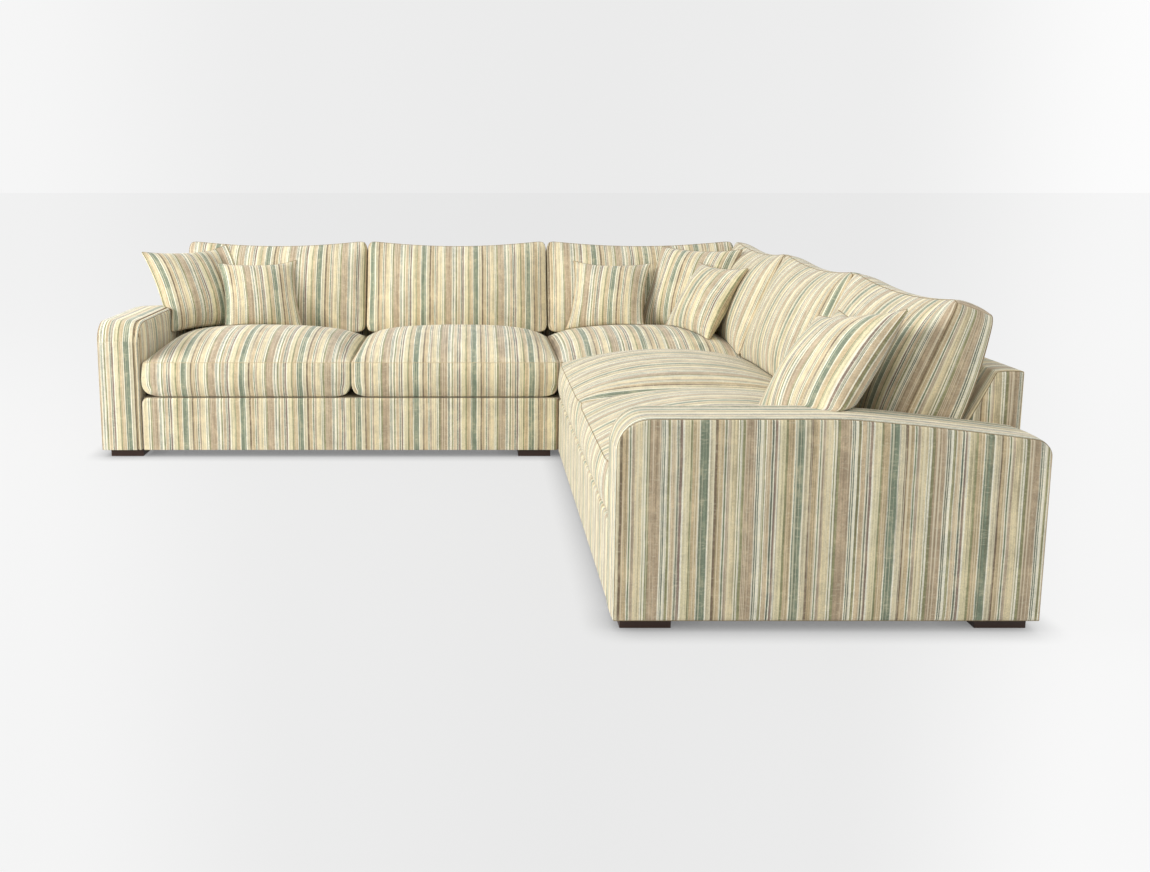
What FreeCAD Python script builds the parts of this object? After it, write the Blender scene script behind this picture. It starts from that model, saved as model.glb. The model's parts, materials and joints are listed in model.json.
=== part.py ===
"""Corner sofa in three linked units: a left unit with an arm, a corner unit and a right unit with an arm.

Both runs are the same size and meet in a square corner, so the right unit is the left one mirrored in
the upright plane X = Y. The origin is on the floor under the middle of the sofa, Z points up, the left
run stands along the +Y side and faces -Y, and the right run stands along the +X side and faces -X.
A run's section is written as (depth, height): depth from the run's front plane, height from the floor.
"""
import FreeCAD, Part
import Sketcher
import os
import re

SIZES = {
    "seat_width": 860,
    "run_depth": 1100,
    "arm_width": 152,
    "arm_pad": 28,
    "arm_pad_round": 16,
    "arm_height": 564,
    "arm_drop": 58,
    "arm_flat": 560,
    "arm_front_round": 82,
    "arm_rear_round": 42,
    "arm_top_round": 1500,
    "base_top": 250,
    "back_height": 654,
    "back_top": 74,
    "back_rake": 28,
    "back_round": 24,
    "cover_wall": 12,
    "fit_gap": 0.3,
    "board": 22,
    "ply": 15,
    "rib_count": 4,
    "rail_top": 214,
    "dust_cloth": 1.5,
    "block_side": 80,
    "block_height": 45,
    "foot_side": 134,
    "foot_height": 30,
    "foot_inset": 32,
    "foot_setback": 20,
    "bolt_diameter": 8,
    "bolt_length": 56,
    "bolt_head": 15,
    "bolt_head_height": 5,
    "bolt_sink": 9,
    "bolt_well": 22,
    "arm_bolt_height": 120,
    "spring_wire": 4,
    "spring_width": 104,
    "spring_pitch": 44,
    "springs_per_seat": 4,
    "link_length": 80,
    "link_width": 40,
    "link_thickness": 3,
    "screw_diameter": 5,
    "screw_length": 30,
    "screw_head": 10,
    "screw_head_height": 2.5,
    "seat_depth": 804,
    "seat_edge": 150,
    "seat_crown": 90,
    "seat_end_crown": 36,
    "seat_front_bulge": 12,
    "cushion_gap": 2,
    "back_foot_depth": 741,
    "back_foot_height": 430,
    "back_foot_thickness": 160,
    "back_top_depth": 915,
    "back_top_height": 848,
    "back_top_thickness": 96,
    "back_top_tilt": 36,
    "back_crown": 44,
    "back_dip": 27,
    "corner_back_width": 900,
    "large_scatter": 430,
    "large_scatter_thickness": 150,
    "small_scatter": 370,
    "small_scatter_thickness": 125,
    "scatter_edge": 8,
    "scatter_dip": 16,
}

DERIVED = {
    "half_span": "(arm_width + arm_pad + 2 * seat_width + run_depth) / 2",
    "front": "half_span - run_depth",
    "arm_face": "arm_width - half_span",
    "seat_start": "arm_width + arm_pad - half_span",
    "inset": "cover_wall + fit_gap",
    "frame_foot": "foot_height + dust_cloth + fit_gap",
    "deck_foot": "rail_top + spring_wire + 2 * fit_gap",
    "back_foot": "run_depth - back_top - (back_height - base_top) * tan(back_rake)",
    "slant_wall": "inset / cos(back_rake)",
    "arm_rear_height": "arm_height - arm_drop",
    "inner_top": "run_depth - back_top - inset * tan(back_rake) + slant_wall",
    "foot_reach": "foot_inset + foot_side / 2",
    "foot_line": "foot_setback + foot_side / 2",
    "bolt_hole": "bolt_diameter + 2 * fit_gap",
    "screw_hole": "screw_diameter + 2 * fit_gap",
    "screw_line": "inset + board / 2",
}

doc = FreeCAD.newDocument("corner_sofa")
sheet = doc.addObject("Spreadsheet::Sheet", "sizes")
for row, (name, number) in enumerate(SIZES.items(), start=1):
    sheet.set("A%d" % row, name)
    sheet.set("B%d" % row, str(number))
    sheet.setAlias("B%d" % row, name)
derived = doc.addObject("App::FeaturePython", "derived")


def formula(text):
    """The same formula with every named size pointed at the sheet or at the derived values."""
    def owner(match):
        word = match.group(0)
        if word in SIZES:
            return "sizes." + word
        if word in DERIVED:
            return "derived." + word
        return word
    return re.sub(r"[A-Za-z_][A-Za-z_0-9]*", owner, str(text))


for name, text in DERIVED.items():
    derived.addProperty("App::PropertyFloat", name)
    derived.setExpression(name, formula(text))
doc.recompute()


def size(name):
    """The present number of a named size."""
    return float(getattr(derived, name)) if name in DERIVED else float(sheet.get(name))


def bind(item, **formulas):
    """Tie properties of an object to formulas of the named sizes."""
    for prop, text in formulas.items():
        item.setExpression(prop, formula(text))
    return item


def place(item, x="0", y="0", z="0"):
    """Put an object at a place given by formulas."""
    item.setExpression("Placement.Base.x", formula(x))
    item.setExpression("Placement.Base.y", formula(y))
    item.setExpression("Placement.Base.z", formula(z))
    return item


def box(x, y, z):
    """A board or block between two formulas along each axis."""
    item = doc.addObject("Part::Box", "board")
    bind(item, Length="(%s) - (%s)" % (x[1], x[0]), Width="(%s) - (%s)" % (y[1], y[0]))
    bind(item, Height="(%s) - (%s)" % (z[1], z[0]))
    return place(item, x[0], y[0], z[0])


def rod(diameter, length, x, y, z, along_x=False):
    """A round bar that starts at a place and runs up, or along X."""
    item = doc.addObject("Part::Cylinder", "rod")
    bind(item, Radius="(%s) / 2" % diameter, Height=length)
    if along_x:
        item.Placement = FreeCAD.Placement(FreeCAD.Vector(), FreeCAD.Rotation(FreeCAD.Vector(0, 1, 0), 90))
    return place(item, x, y, z)


def group(label, items):
    """Several separate solids that make one named piece."""
    item = doc.addObject("Part::Compound", label)
    item.Links = items
    item.Label = label
    return item


def cut(label, base, tools):
    """A piece with other shapes taken out of it."""
    tool = tools[0]
    if len(tools) > 1:
        tool = doc.addObject("Part::MultiFuse", label + "_tools")
        tool.Shapes = tools
    item = doc.addObject("Part::Cut", label)
    item.Base = base
    item.Tool = tool
    item.Label = label
    return item


def moved(source, x="0", y="0", z="0"):
    """A copy of a shape, moved a little, to cut a clearance with."""
    return place(group(source.Name + "_clear", [source]), x, y, z)


def mirrored(label, source):
    """The same piece on the other run, mirrored in the upright plane X = Y."""
    item = doc.addObject("Part::Mirroring", label)
    item.Source = source
    item.Normal = FreeCAD.Vector(1, -1, 0).normalize()
    item.Label = label
    return item


def outline_sketch(body, outline):
    """A closed outline of straight lines in the run's section, each corner tied to its two formulas."""
    plane = [f for f in body.Origin.OriginFeatures if f.Role == "YZ_Plane"][0]
    sketch = body.newObject("Sketcher::SketchObject", "outline")
    sketch.AttachmentSupport = [(plane, "")]
    sketch.MapMode = "FlatFace"
    count = len(outline)
    corners = []
    for number, (depth, height) in enumerate(outline):
        for side, text in (("u", depth), ("w", height)):
            name = "corner_%s%d" % (side, number)
            sketch.addProperty("App::PropertyFloat", name)
            sketch.setExpression(name, formula(text))
    doc.recompute()
    for number in range(count):
        corners.append(FreeCAD.Vector(getattr(sketch, "corner_u%d" % number),
                                      getattr(sketch, "corner_w%d" % number), 0))
    for number in range(count):
        sketch.addGeometry(Part.LineSegment(corners[number], corners[(number + 1) % count]), False)
    for number in range(count):
        sketch.addConstraint(Sketcher.Constraint("Coincident", number, 2, (number + 1) % count, 1))
    for number in range(count):
        for kind, side, value in (("DistanceX", "u", corners[number].x), ("DistanceY", "w", corners[number].y)):
            index = sketch.addConstraint(Sketcher.Constraint(kind, -1, 1, number, 1, value))
            sketch.setExpression("Constraints[%d]" % index, "corner_%s%d" % (side, number))
    doc.recompute()
    return sketch


def edges_along_x(shape, corner):
    """Names of the edges that run along X through one corner of the outline."""
    names = []
    for number, edge in enumerate(shape.Edges, start=1):
        ends = [vertex.Point for vertex in edge.Vertexes]
        if len(ends) == 2 and all(abs(p.y - corner.x) < 0.01 and abs(p.z - corner.y) < 0.01 for p in ends):
            names.append("Edge%d" % number)
    return names


def profile(label, outline, length, x="0", y="front", rounds=(), open_faces=()):
    """A body with the given section, run along X, its corners rounded and hollowed out where asked.

    rounds holds (corner number, radius) pairs. open_faces holds the outward directions of the faces that
    are left open when the body is hollowed to the cover's wall.
    """
    body = doc.addObject("PartDesign::Body", label)
    body.Label = label
    sketch = outline_sketch(body, outline)
    corners = [line.StartPoint for line in sketch.Geometry]
    feature = body.newObject("PartDesign::Pad", "pad")
    feature.Profile = sketch
    bind(feature, Length=length)
    doc.recompute()
    for number, radius in rounds:
        names = edges_along_x(feature.Shape, corners[number])
        rounding = body.newObject("PartDesign::Fillet", "round")
        rounding.Base = (feature, names)
        bind(rounding, Radius=radius)
        feature = rounding
        doc.recompute()
    if open_faces:
        names = []
        for direction in open_faces:
            for number, face in enumerate(feature.Shape.Faces, start=1):
                if face.normalAt(0, 0).dot(FreeCAD.Vector(*direction)) > 0.999:
                    names.append("Face%d" % number)
        hollow = body.newObject("PartDesign::Thickness", "hollow")
        hollow.Base = (feature, names)
        hollow.Reversed = True
        hollow.Join = 1
        bind(hollow, Value="cover_wall")
        doc.recompute()
    return place(body, x, y, "0")


ARM_OUTLINE = [
    ("0", "foot_height"),
    ("0", "arm_height"),
    ("arm_flat", "arm_height"),
    ("run_depth", "arm_rear_height"),
    ("run_depth", "foot_height"),
]
ARM_ROUNDS = [(1, "arm_front_round"), (2, "arm_top_round"), (3, "arm_rear_round")]
ARM_PLY_OUTLINE = [
    ("inset", "frame_foot"),
    ("inset", "arm_height - inset"),
    ("arm_flat", "arm_height - inset"),
    ("run_depth - inset", "arm_rear_height - inset - fit_gap + arm_drop * inset / (run_depth - arm_flat)"),
    ("run_depth - inset", "frame_foot"),
]
ARM_PLY_ROUNDS = [(1, "arm_front_round - inset"), (2, "arm_top_round - inset"), (3, "arm_rear_round - inset")]
BACK_OUTLINE = [
    ("back_foot", "base_top"),
    ("run_depth - back_top", "back_height"),
    ("run_depth", "back_height"),
    ("run_depth", "base_top"),
]
BACK_ROUNDS = [(1, "back_round"), (2, "back_round")]


def back_inside(wall, foot):
    """The back's section drawn in by a wall all round, with straight legs down to a foot height."""
    return [
        ("back_foot + %s / cos(back_rake)" % wall, foot),
        ("back_foot + %s / cos(back_rake)" % wall, "base_top"),
        ("run_depth - back_top - %s * tan(back_rake) + %s / cos(back_rake)" % (wall, wall),
         "back_height - %s" % wall),
        ("run_depth - %s" % wall, "back_height - %s" % wall),
        ("run_depth - %s" % wall, foot),
    ]


def bolt(diameter, length, head, head_height, x, y, z, along_x=False):
    """A hexagon bolt whose head lies under the given place and whose shank runs up, or along X, from it."""
    shank = rod(diameter, length, x, y, z, along_x)
    cap = doc.addObject("Part::Prism", "bolt_head")
    cap.Polygon = 6
    bind(cap, Circumradius="%s / 2 / cos(30)" % head, Height=head_height)
    if along_x:
        cap.Placement = FreeCAD.Placement(FreeCAD.Vector(), FreeCAD.Rotation(FreeCAD.Vector(0, 1, 0), 90))
        place(cap, "(%s) - %s" % (x, head_height), y, z)
    else:
        place(cap, x, y, "(%s) - %s" % (z, head_height))
    item = doc.addObject("Part::MultiFuse", "bolt")
    item.Shapes = [cap, shank]
    return item


def foot(x, y):
    """One square block foot, bored and sunk for its bolt."""
    block = box(("(%s) - foot_side / 2" % x, "(%s) + foot_side / 2" % x),
                ("(%s) - foot_side / 2" % y, "(%s) + foot_side / 2" % y), ("0", "foot_height"))
    well = rod("bolt_well", "2 * bolt_sink", x, y, "-bolt_sink")
    hole = rod("bolt_hole", "3 * foot_height", x, y, "-foot_height")
    return cut("foot", block, [well, hole])


def foot_bolt(x, y):
    """The bolt that holds one foot to the corner block above it."""
    return bolt("bolt_diameter", "bolt_length", "bolt_head", "bolt_head_height", x, y, "bolt_sink")


def corner_block(x, y, foot_x, foot_y):
    """A glued block in a corner of a frame, bored for the foot's bolt."""
    block = box(x, y, ("frame_foot", "frame_foot + block_height"))
    return cut("block", block, [rod("bolt_hole", "2 * base_top", foot_x, foot_y, "0")])


FRONT_BLOCK = ("front + inset + board", "front + inset + board + block_side")
REAR_BLOCK = ("half_span - inset - board - block_side", "half_span - inset - board")
RAIL_HEIGHT = ("frame_foot", "rail_top")
FRONT_RAIL = ("front + inset", "front + inset + board")
REAR_RAIL = ("half_span - inset - board", "half_span - inset")
SUPPORT_RAIL = ("front + back_foot + slant_wall - board", "front + back_foot + slant_wall + board")
BACK_FOOT_RAIL = ("front + back_foot + slant_wall", "front + back_foot + slant_wall + board")
BETWEEN_RAILS = ("front + inset + board", "half_span - inset - board")
LINK_LINES = ["front + run_depth / 4", "half_span - run_depth / 4"]
ARM_BOLT_LINES = ["front + run_depth / 3", "half_span - run_depth / 3"]
FRONT_FOOT, REAR_FOOT = "front + foot_line", "half_span - foot_line"
ARM_FOOT, JOINT_FOOT = "foot_reach - half_span", "front - foot_reach"
CORNER_FEET = [(x, y) for x in ("front + foot_reach", "half_span - foot_reach")
               for y in ("front + foot_reach", "half_span - foot_reach")]
SIDE_FEET = [(x, y) for x in (ARM_FOOT, JOINT_FOOT) for y in (FRONT_FOOT, REAR_FOOT)]


def arm_pieces():
    """The left arm: padded cover, inner pad, timber and ply frame, and the bolts into the base."""
    cover = profile("left_arm_cover", ARM_OUTLINE, "arm_width", "-half_span", "front",
                    ARM_ROUNDS, [(1, 0, 0), (0, 0, -1)])
    pad = profile("left_arm_pad_body", ARM_OUTLINE, "arm_pad", "arm_face", "front", ARM_ROUNDS)
    holes = [rod("bolt_hole", "3 * arm_pad", "arm_face - arm_pad", line, "arm_bolt_height", True)
             for line in ARM_BOLT_LINES]
    rounded = round_face(pad, (1, 0, 0), "arm_pad_round")
    cut("left_arm_pad", rounded, holes)
    outer = profile("arm_outer_ply", ARM_PLY_OUTLINE, "ply", "inset - half_span", "front", ARM_PLY_ROUNDS)
    inner = profile("arm_inner_ply", ARM_PLY_OUTLINE, "ply", "arm_face - ply", "front", ARM_PLY_ROUNDS)
    ply_holes = [rod("bolt_hole", "3 * ply", "arm_face - 2 * ply", line, "arm_bolt_height", True)
                 for line in ARM_BOLT_LINES]
    inside = ("inset + ply - half_span", "arm_face - ply")
    block_x = ("arm_face - ply - block_side", "arm_face - ply")
    boards = [
        outer,
        cut("arm_inner_ply_bored", inner, ply_holes),
        box(inside, FRONT_RAIL, ("frame_foot", "arm_height - arm_front_round")),
        box(inside, REAR_RAIL, ("frame_foot", "arm_rear_height - arm_rear_round")),
        box(inside, ("front + arm_front_round", "front + arm_flat - arm_front_round"),
            ("arm_height - inset - board", "arm_height - inset")),
        corner_block(block_x, FRONT_BLOCK, ARM_FOOT, FRONT_FOOT),
        corner_block(block_x, REAR_BLOCK, ARM_FOOT, REAR_FOOT),
    ]
    group("left_arm_frame", boards)
    group("left_arm_bolts", [
        bolt("bolt_diameter", "ply + arm_pad + board", "bolt_head", "bolt_head_height",
             "arm_face - ply", line, "arm_bolt_height", True) for line in ARM_BOLT_LINES])
    return cover


def round_face(body, direction, radius):
    """Round every edge of the one face that looks in a direction, apart from its edge at the bottom."""
    feature = body.Tip
    names = []
    floor = feature.Shape.BoundBox.ZMin
    face = [f for f in feature.Shape.Faces if f.normalAt(0, 0).dot(FreeCAD.Vector(*direction)) > 0.999][0]
    for number, edge in enumerate(feature.Shape.Edges, start=1):
        on_face = any(edge.isSame(other) for other in face.Edges)
        if on_face and edge.BoundBox.ZMax > floor + 1:
            names.append("Edge%d" % number)
    rounding = body.newObject("PartDesign::Fillet", "round")
    rounding.Base = (feature, names)
    bind(rounding, Radius=radius)
    doc.recompute()
    return body


def side_base_pieces():
    """The left unit's base: cover, rails, springs, deck and the cloth underneath."""
    shell = box(("seat_start", "front"), ("front", "half_span"), ("foot_height", "base_top"))
    room = box(("seat_start - board", "front - cover_wall"),
               ("front + cover_wall", "half_span - cover_wall"), ("0", "2 * base_top"))
    cut("left_base_cover", shell, [room])
    span = ("seat_start", "front - inset")
    end_board = box(("seat_start", "seat_start + board"), BETWEEN_RAILS, RAIL_HEIGHT)
    end_holes = [rod("bolt_hole", "3 * board", "seat_start - board", line, "arm_bolt_height", True)
                 for line in ARM_BOLT_LINES]
    joint_board = box(("front - inset - board", "front - inset"), BETWEEN_RAILS, RAIL_HEIGHT)
    link_holes = [rod("screw_hole", "rail_top", "front - screw_line", line, "0") for line in LINK_LINES]
    middle = ("seat_start + seat_width - board / 2", "seat_start + seat_width + board / 2")
    inside = ("seat_start + board", "front - inset - board")
    block_x = ("front - inset - board - block_side", "front - inset - board")
    group("left_base_frame", [
        box(span, FRONT_RAIL, RAIL_HEIGHT),
        box(span, REAR_RAIL, RAIL_HEIGHT),
        cut("arm_end_board", end_board, end_holes),
        cut("joint_end_board", joint_board, link_holes),
        box(inside, SUPPORT_RAIL, RAIL_HEIGHT),
        box(middle, (FRONT_RAIL[1], SUPPORT_RAIL[0]), RAIL_HEIGHT),
        box(middle, (SUPPORT_RAIL[1], REAR_RAIL[0]), RAIL_HEIGHT),
        corner_block(block_x, FRONT_BLOCK, JOINT_FOOT, FRONT_FOOT),
        corner_block(block_x, REAR_BLOCK, JOINT_FOOT, REAR_FOOT),
    ])
    starts = [size("seat_start") + seat * size("seat_width") for seat in range(2)]
    spring_set("left_seat_springs", starts, size("seat_width"))
    deck = box(span, ("front + inset", "front + back_foot"), ("deck_foot", "base_top"))
    group("left_deck", [deck])
    cloth = [
        box(span, ("front + inset", "half_span - inset"), ("foot_height", "foot_height + dust_cloth")),
        box(("inset - half_span", "arm_face"), ("front + inset", "half_span - inset"),
            ("foot_height", "foot_height + dust_cloth")),
    ]
    holes = [rod("bolt_hole", "base_top", x, y, "0") for x, y in SIDE_FEET]
    holes += [rod("screw_hole", "base_top", "front - screw_line", line, "0") for line in LINK_LINES]
    cut("left_dust_cloth", group("left_cloth_sheets", cloth), holes)
    group("left_feet", [foot(x, y) for x, y in SIDE_FEET])
    group("left_foot_bolts", [foot_bolt(x, y) for x, y in SIDE_FEET])


def zigzag_spring(length):
    """One serpentine spring along +Y: cross bars joined by half turns, lying flat, one unbroken wire."""
    turns = 2 * round(length / size("spring_pitch") / 2)
    radius = length / turns / 2
    reach = (size("spring_width") - size("spring_wire")) / 2
    straight = reach - radius
    edges = []
    side = 1
    for turn in range(turns + 1):
        y = 2 * radius * turn
        start = FreeCAD.Vector(-side * straight, y, 0)
        end = FreeCAD.Vector(side * straight, y, 0)
        edges.append(Part.LineSegment(start, end).toShape())
        if turn < turns:
            over = FreeCAD.Vector(side * reach, y + radius, 0)
            after = FreeCAD.Vector(side * straight, y + 2 * radius, 0)
            edges.append(Part.Arc(end, over, after).toShape())
        side = -side
    path = Part.Wire(edges)
    circle = Part.Circle(edges[0].Vertexes[0].Point, FreeCAD.Vector(1, 0, 0), size("spring_wire") / 2)
    return path.makePipeShell([Part.Wire([circle.toShape()])], True, False)


def spring_set(label, starts, bay):
    """The springs of one unit, evenly spaced over each seat from the front rail to the support rail."""
    first = size("front") + size("inset") + size("board") / 2
    last = size("front") + size("back_foot") + size("slant_wall") - size("board") / 2
    height = size("rail_top") + size("fit_gap") + size("spring_wire") / 2
    spring = zigzag_spring(last - first)
    count = int(size("springs_per_seat"))
    copies = []
    for start in starts:
        for number in range(count):
            x = start + (number + 0.5) * bay / count
            copies.append(spring.translated(FreeCAD.Vector(x, first, height)))
    item = doc.addObject("Part::Feature", label)
    item.Label = label
    item.Shape = Part.makeCompound(copies)
    return item


def ribs_and_rails(starts, last_end=None):
    """Ply ribs at the given places along a run's back, with rails from each to the next."""
    outline = back_inside("inset", "rail_top")
    rounds = [(2, "back_round - inset"), (3, "back_round - inset")]
    pieces = [profile("back_rib", outline, "ply", start, "front", rounds) for start in starts]
    ends = list(starts[1:]) + ([last_end] if last_end else [])
    for number, end in enumerate(ends):
        bay = ("(%s) + ply" % starts[number], end)
        pieces.append(box(bay, ("front + inner_top + back_round - inset", "half_span - back_round"),
                          ("back_height - inset - board", "back_height - inset")))
        pieces.append(box(bay, REAR_RAIL, ("rail_top", "rail_top + block_height")))
        if end != last_end:
            pieces.append(box(bay, BACK_FOOT_RAIL, ("rail_top", "base_top")))
    return pieces


def side_back_pieces():
    """The left unit's back: hollow padded cover and the ribbed frame that stands on the base rails."""
    profile("left_back_cover", BACK_OUTLINE, "2 * seat_width", "seat_start", "front",
            BACK_ROUNDS, [(0, 0, -1)])
    bays = int(size("rib_count")) - 1
    starts = ["seat_start + inset + %d * (2 * seat_width - 2 * inset - ply) / %d" % (number, bays)
              for number in range(bays + 1)]
    group("left_back_frame", ribs_and_rails(starts))


def mitre_block():
    """A great block that fills the front-right side of the corner's mitre, X greater than Y."""
    block = box(("0", "3 * run_depth"), ("0", "3 * run_depth"), ("0", "2 * back_height"))
    turn = FreeCAD.Rotation(FreeCAD.Vector(0, 0, 1), 45)
    block.Placement = FreeCAD.Placement(FreeCAD.Vector(), turn)
    reach = "3 * run_depth / sqrt(2)"
    return place(block, "front - run_depth + %s" % reach, "front - run_depth - %s" % reach, "-base_top")


def corner_pieces():
    """The corner unit: base, two mitred backs, feet and everything inside."""
    square = ("front", "half_span")
    inner = ("front + cover_wall", "half_span - cover_wall")
    shell = box(square, square, ("foot_height", "base_top"))
    room = box(inner, inner, ("0", "2 * base_top"))
    cut("corner_base_cover", shell, [room])
    inside = ("front + inset", "half_span - inset")
    blocks = []
    for x, foot_x in ((FRONT_BLOCK, CORNER_FEET[0][0]), (REAR_BLOCK, CORNER_FEET[3][0])):
        for y, foot_y in ((FRONT_BLOCK, CORNER_FEET[0][1]), (REAR_BLOCK, CORNER_FEET[3][1])):
            blocks.append(corner_block(x, y, foot_x, foot_y))
    near_side = box(inside, FRONT_RAIL, RAIL_HEIGHT)
    near_holes = [rod("screw_hole", "rail_top", line, "front + screw_line", "0") for line in LINK_LINES]
    left_side = box(FRONT_RAIL, BETWEEN_RAILS, RAIL_HEIGHT)
    left_holes = [rod("screw_hole", "rail_top", "front + screw_line", line, "0") for line in LINK_LINES]
    group("corner_base_frame", blocks + [
        cut("corner_near_board", near_side, near_holes),
        cut("corner_left_board", left_side, left_holes),
        box(inside, REAR_RAIL, RAIL_HEIGHT),
        box(REAR_RAIL, BETWEEN_RAILS, RAIL_HEIGHT),
        box(BETWEEN_RAILS, SUPPORT_RAIL, RAIL_HEIGHT),
        box(SUPPORT_RAIL, (FRONT_RAIL[1], SUPPORT_RAIL[0]), RAIL_HEIGHT),
    ])
    spring_set("corner_seat_springs", [size("front") + size("inset")], size("back_foot"))
    deck_side = ("front + inset", "front + back_foot")
    group("corner_deck", [box(deck_side, deck_side, ("deck_foot", "base_top"))])
    cloth = box(inside, inside, ("foot_height", "foot_height + dust_cloth"))
    holes = [rod("bolt_hole", "base_top", x, y, "0") for x, y in CORNER_FEET]
    holes += [rod("screw_hole", "base_top", "front + screw_line", line, "0") for line in LINK_LINES]
    holes += [rod("screw_hole", "base_top", line, "front + screw_line", "0") for line in LINK_LINES]
    cut("corner_dust_cloth", cloth, holes)
    group("corner_feet", [foot(x, y) for x, y in CORNER_FEET])
    group("corner_foot_bolts", [foot_bolt(x, y) for x, y in CORNER_FEET])
    outer = profile("corner_back_outer", BACK_OUTLINE, "run_depth", "front", "front", BACK_ROUNDS)
    hollow = profile("corner_back_room", back_inside("cover_wall", "base_top - cover_wall"), "run_depth",
                     "front + cover_wall", "front",
                     [(2, "back_round - cover_wall"), (3, "back_round - cover_wall")])
    rear = cut("corner_rear_back_cover", outer, [hollow, mitre_block()])
    mirrored("corner_side_back_cover", rear)
    post = ("front + inner_top", "half_span - inset")
    starts = ["front + inset", "front + back_foot / 2", "front + back_foot - ply"]
    wall = group("corner_rear_ribs", ribs_and_rails(starts, post[0]))
    group("corner_back_frame", [
        wall,
        mirrored("corner_side_ribs", wall),
        box(post, post, ("rail_top", "back_height - back_round")),
    ])


def link_pieces():
    """Flat steel plates that link the units underneath, each held by two screws."""
    plates = []
    screws = []
    for line in LINK_LINES:
        plate = box(("front - link_length / 2", "front + link_length / 2"),
                    ("(%s) - link_width / 2" % line, "(%s) + link_width / 2" % line),
                    ("foot_height - link_thickness", "foot_height"))
        places = ["front - screw_line", "front + screw_line"]
        holes = [rod("screw_hole", "base_top", x, line, "0") for x in places]
        plates.append(cut("link_plate", plate, holes))
        screws += [bolt("screw_diameter", "screw_length", "screw_head", "screw_head_height",
                        x, line, "foot_height - link_thickness") for x in places]
    left_plates = group("left_link_plates", plates)
    left_screws = group("left_link_screws", screws)
    mirrored("right_link_plates", left_plates)
    mirrored("right_link_screws", left_screws)


def section(x, corners, bulges):
    """A closed four-sided wire across a run at x: each side a line, or an arc with the given bulge."""
    points = [FreeCAD.Vector(x, depth, height) for depth, height in corners]
    edges = []
    for number, bulge in enumerate(bulges):
        start, end = points[number], points[(number + 1) % 4]
        if bulge == 0:
            edges.append(Part.LineSegment(start, end).toShape())
            continue
        along = (end - start).normalize()
        outward = FreeCAD.Vector(0, -along.z, along.y)
        edges.append(Part.Arc(start, (start + end) / 2 + outward * bulge, end).toShape())
    return Part.Wire(edges)


def soft_solid(label, sections):
    """A filled form lofted through its sections."""
    item = doc.addObject("Part::Feature", label)
    item.Label = label
    item.Shape = Part.makeLoft(sections, True, False)
    return item


def pressed(label, full, tools):
    """A cushion pressed to what it rests on and leans on: the greatest solid that is left of its full form."""
    doc.recompute()
    left = full.Shape.cut([tool.Shape for tool in tools])
    item = doc.addObject("Part::Feature", label)
    item.Label = label
    item.Shape = max(left.Solids, key=lambda solid: solid.Volume)
    return item


def seat_cushion(label, start, width, near, depth, bulge):
    """A seat cushion: flat below, boxed sides that swell a little and a top that crowns to the middle."""
    low = size("base_top") + size("fit_gap")
    high = low + size("seat_edge")
    sections = []
    for share in (-1, -0.72, -0.36, 0, 0.36, 0.72, 1):
        swell = 1 - share ** 4
        crown = size("seat_end_crown") + (size("seat_crown") - size("seat_end_crown")) * swell
        corners = [(near, low), (near, high), (near + depth, high), (near + depth, low)]
        bulges = [1 + bulge * swell, crown, 2, 0]
        sections.append(section(start + width / 2 * (1 + share), corners, bulges))
    return soft_solid(label, sections)


def back_cushion(label, start, width):
    """A back cushion before it is pressed into place: raked, crowned both ways, its top edge dipping."""
    front = size("front")
    sections = []
    for share in (-1, -0.72, -0.36, 0, 0.36, 0.72, 1):
        swell = 1 - share ** 4
        dip = size("back_dip") * (1 - share ** 2)
        crown = 4 + size("back_crown") * swell
        foot_depth = front + size("back_foot_depth")
        top_depth = front + size("back_top_depth")
        low = size("back_foot_height")
        high = size("back_top_height") - dip
        corners = [
            (foot_depth, low),
            (top_depth, high),
            (top_depth + size("back_top_thickness"), high - size("back_top_tilt")),
            (foot_depth + size("back_foot_thickness"), low),
        ]
        sections.append(section(start + width / 2 * (1 + share), corners, [crown, 14, crown, 8 + 20 * swell]))
    return soft_solid(label, sections)


def fullest_back(start, end):
    """A bar with the fullest section of a back cushion, a cushion gap proud of it."""
    near = size("front") - size("cushion_gap")
    low = size("back_foot_height")
    high = size("back_top_height")
    corners = [
        (near + size("back_foot_depth"), low),
        (near + size("back_top_depth"), high),
        (size("half_span"), high),
        (size("half_span"), low),
    ]
    bulges = [4 + size("back_crown"), 0, 0, 0]
    return soft_solid("fullest_back", [section(x, corners, bulges) for x in (start, end)])


def scatter_cushion(label, side, thickness, centre, yaw, lean):
    """A square scatter cushion: knife edges, swelled middle, turned by yaw and leaning back by lean."""
    edge = size("scatter_edge")
    sections = []
    for share in (-1, -0.7, -0.35, 0, 0.35, 0.7, 1):
        swell = 1 - abs(share) ** 2.5
        dip = size("scatter_dip") * (1 - share ** 2)
        bulge = 2 + (thickness - edge) / 2 * swell
        half = side / 2 - dip
        corners = [(-edge / 2, -half), (-edge / 2, half), (edge / 2, half), (edge / 2, -half)]
        sections.append(section(share * side / 2, corners, [bulge, 0, bulge, 0]))
    item = soft_solid(label, sections)
    turn = FreeCAD.Rotation(FreeCAD.Vector(0, 0, 1), yaw) * FreeCAD.Rotation(FreeCAD.Vector(1, 0, 0), -lean)
    item.Placement = FreeCAD.Placement(FreeCAD.Vector(*centre), turn)
    return item


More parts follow.
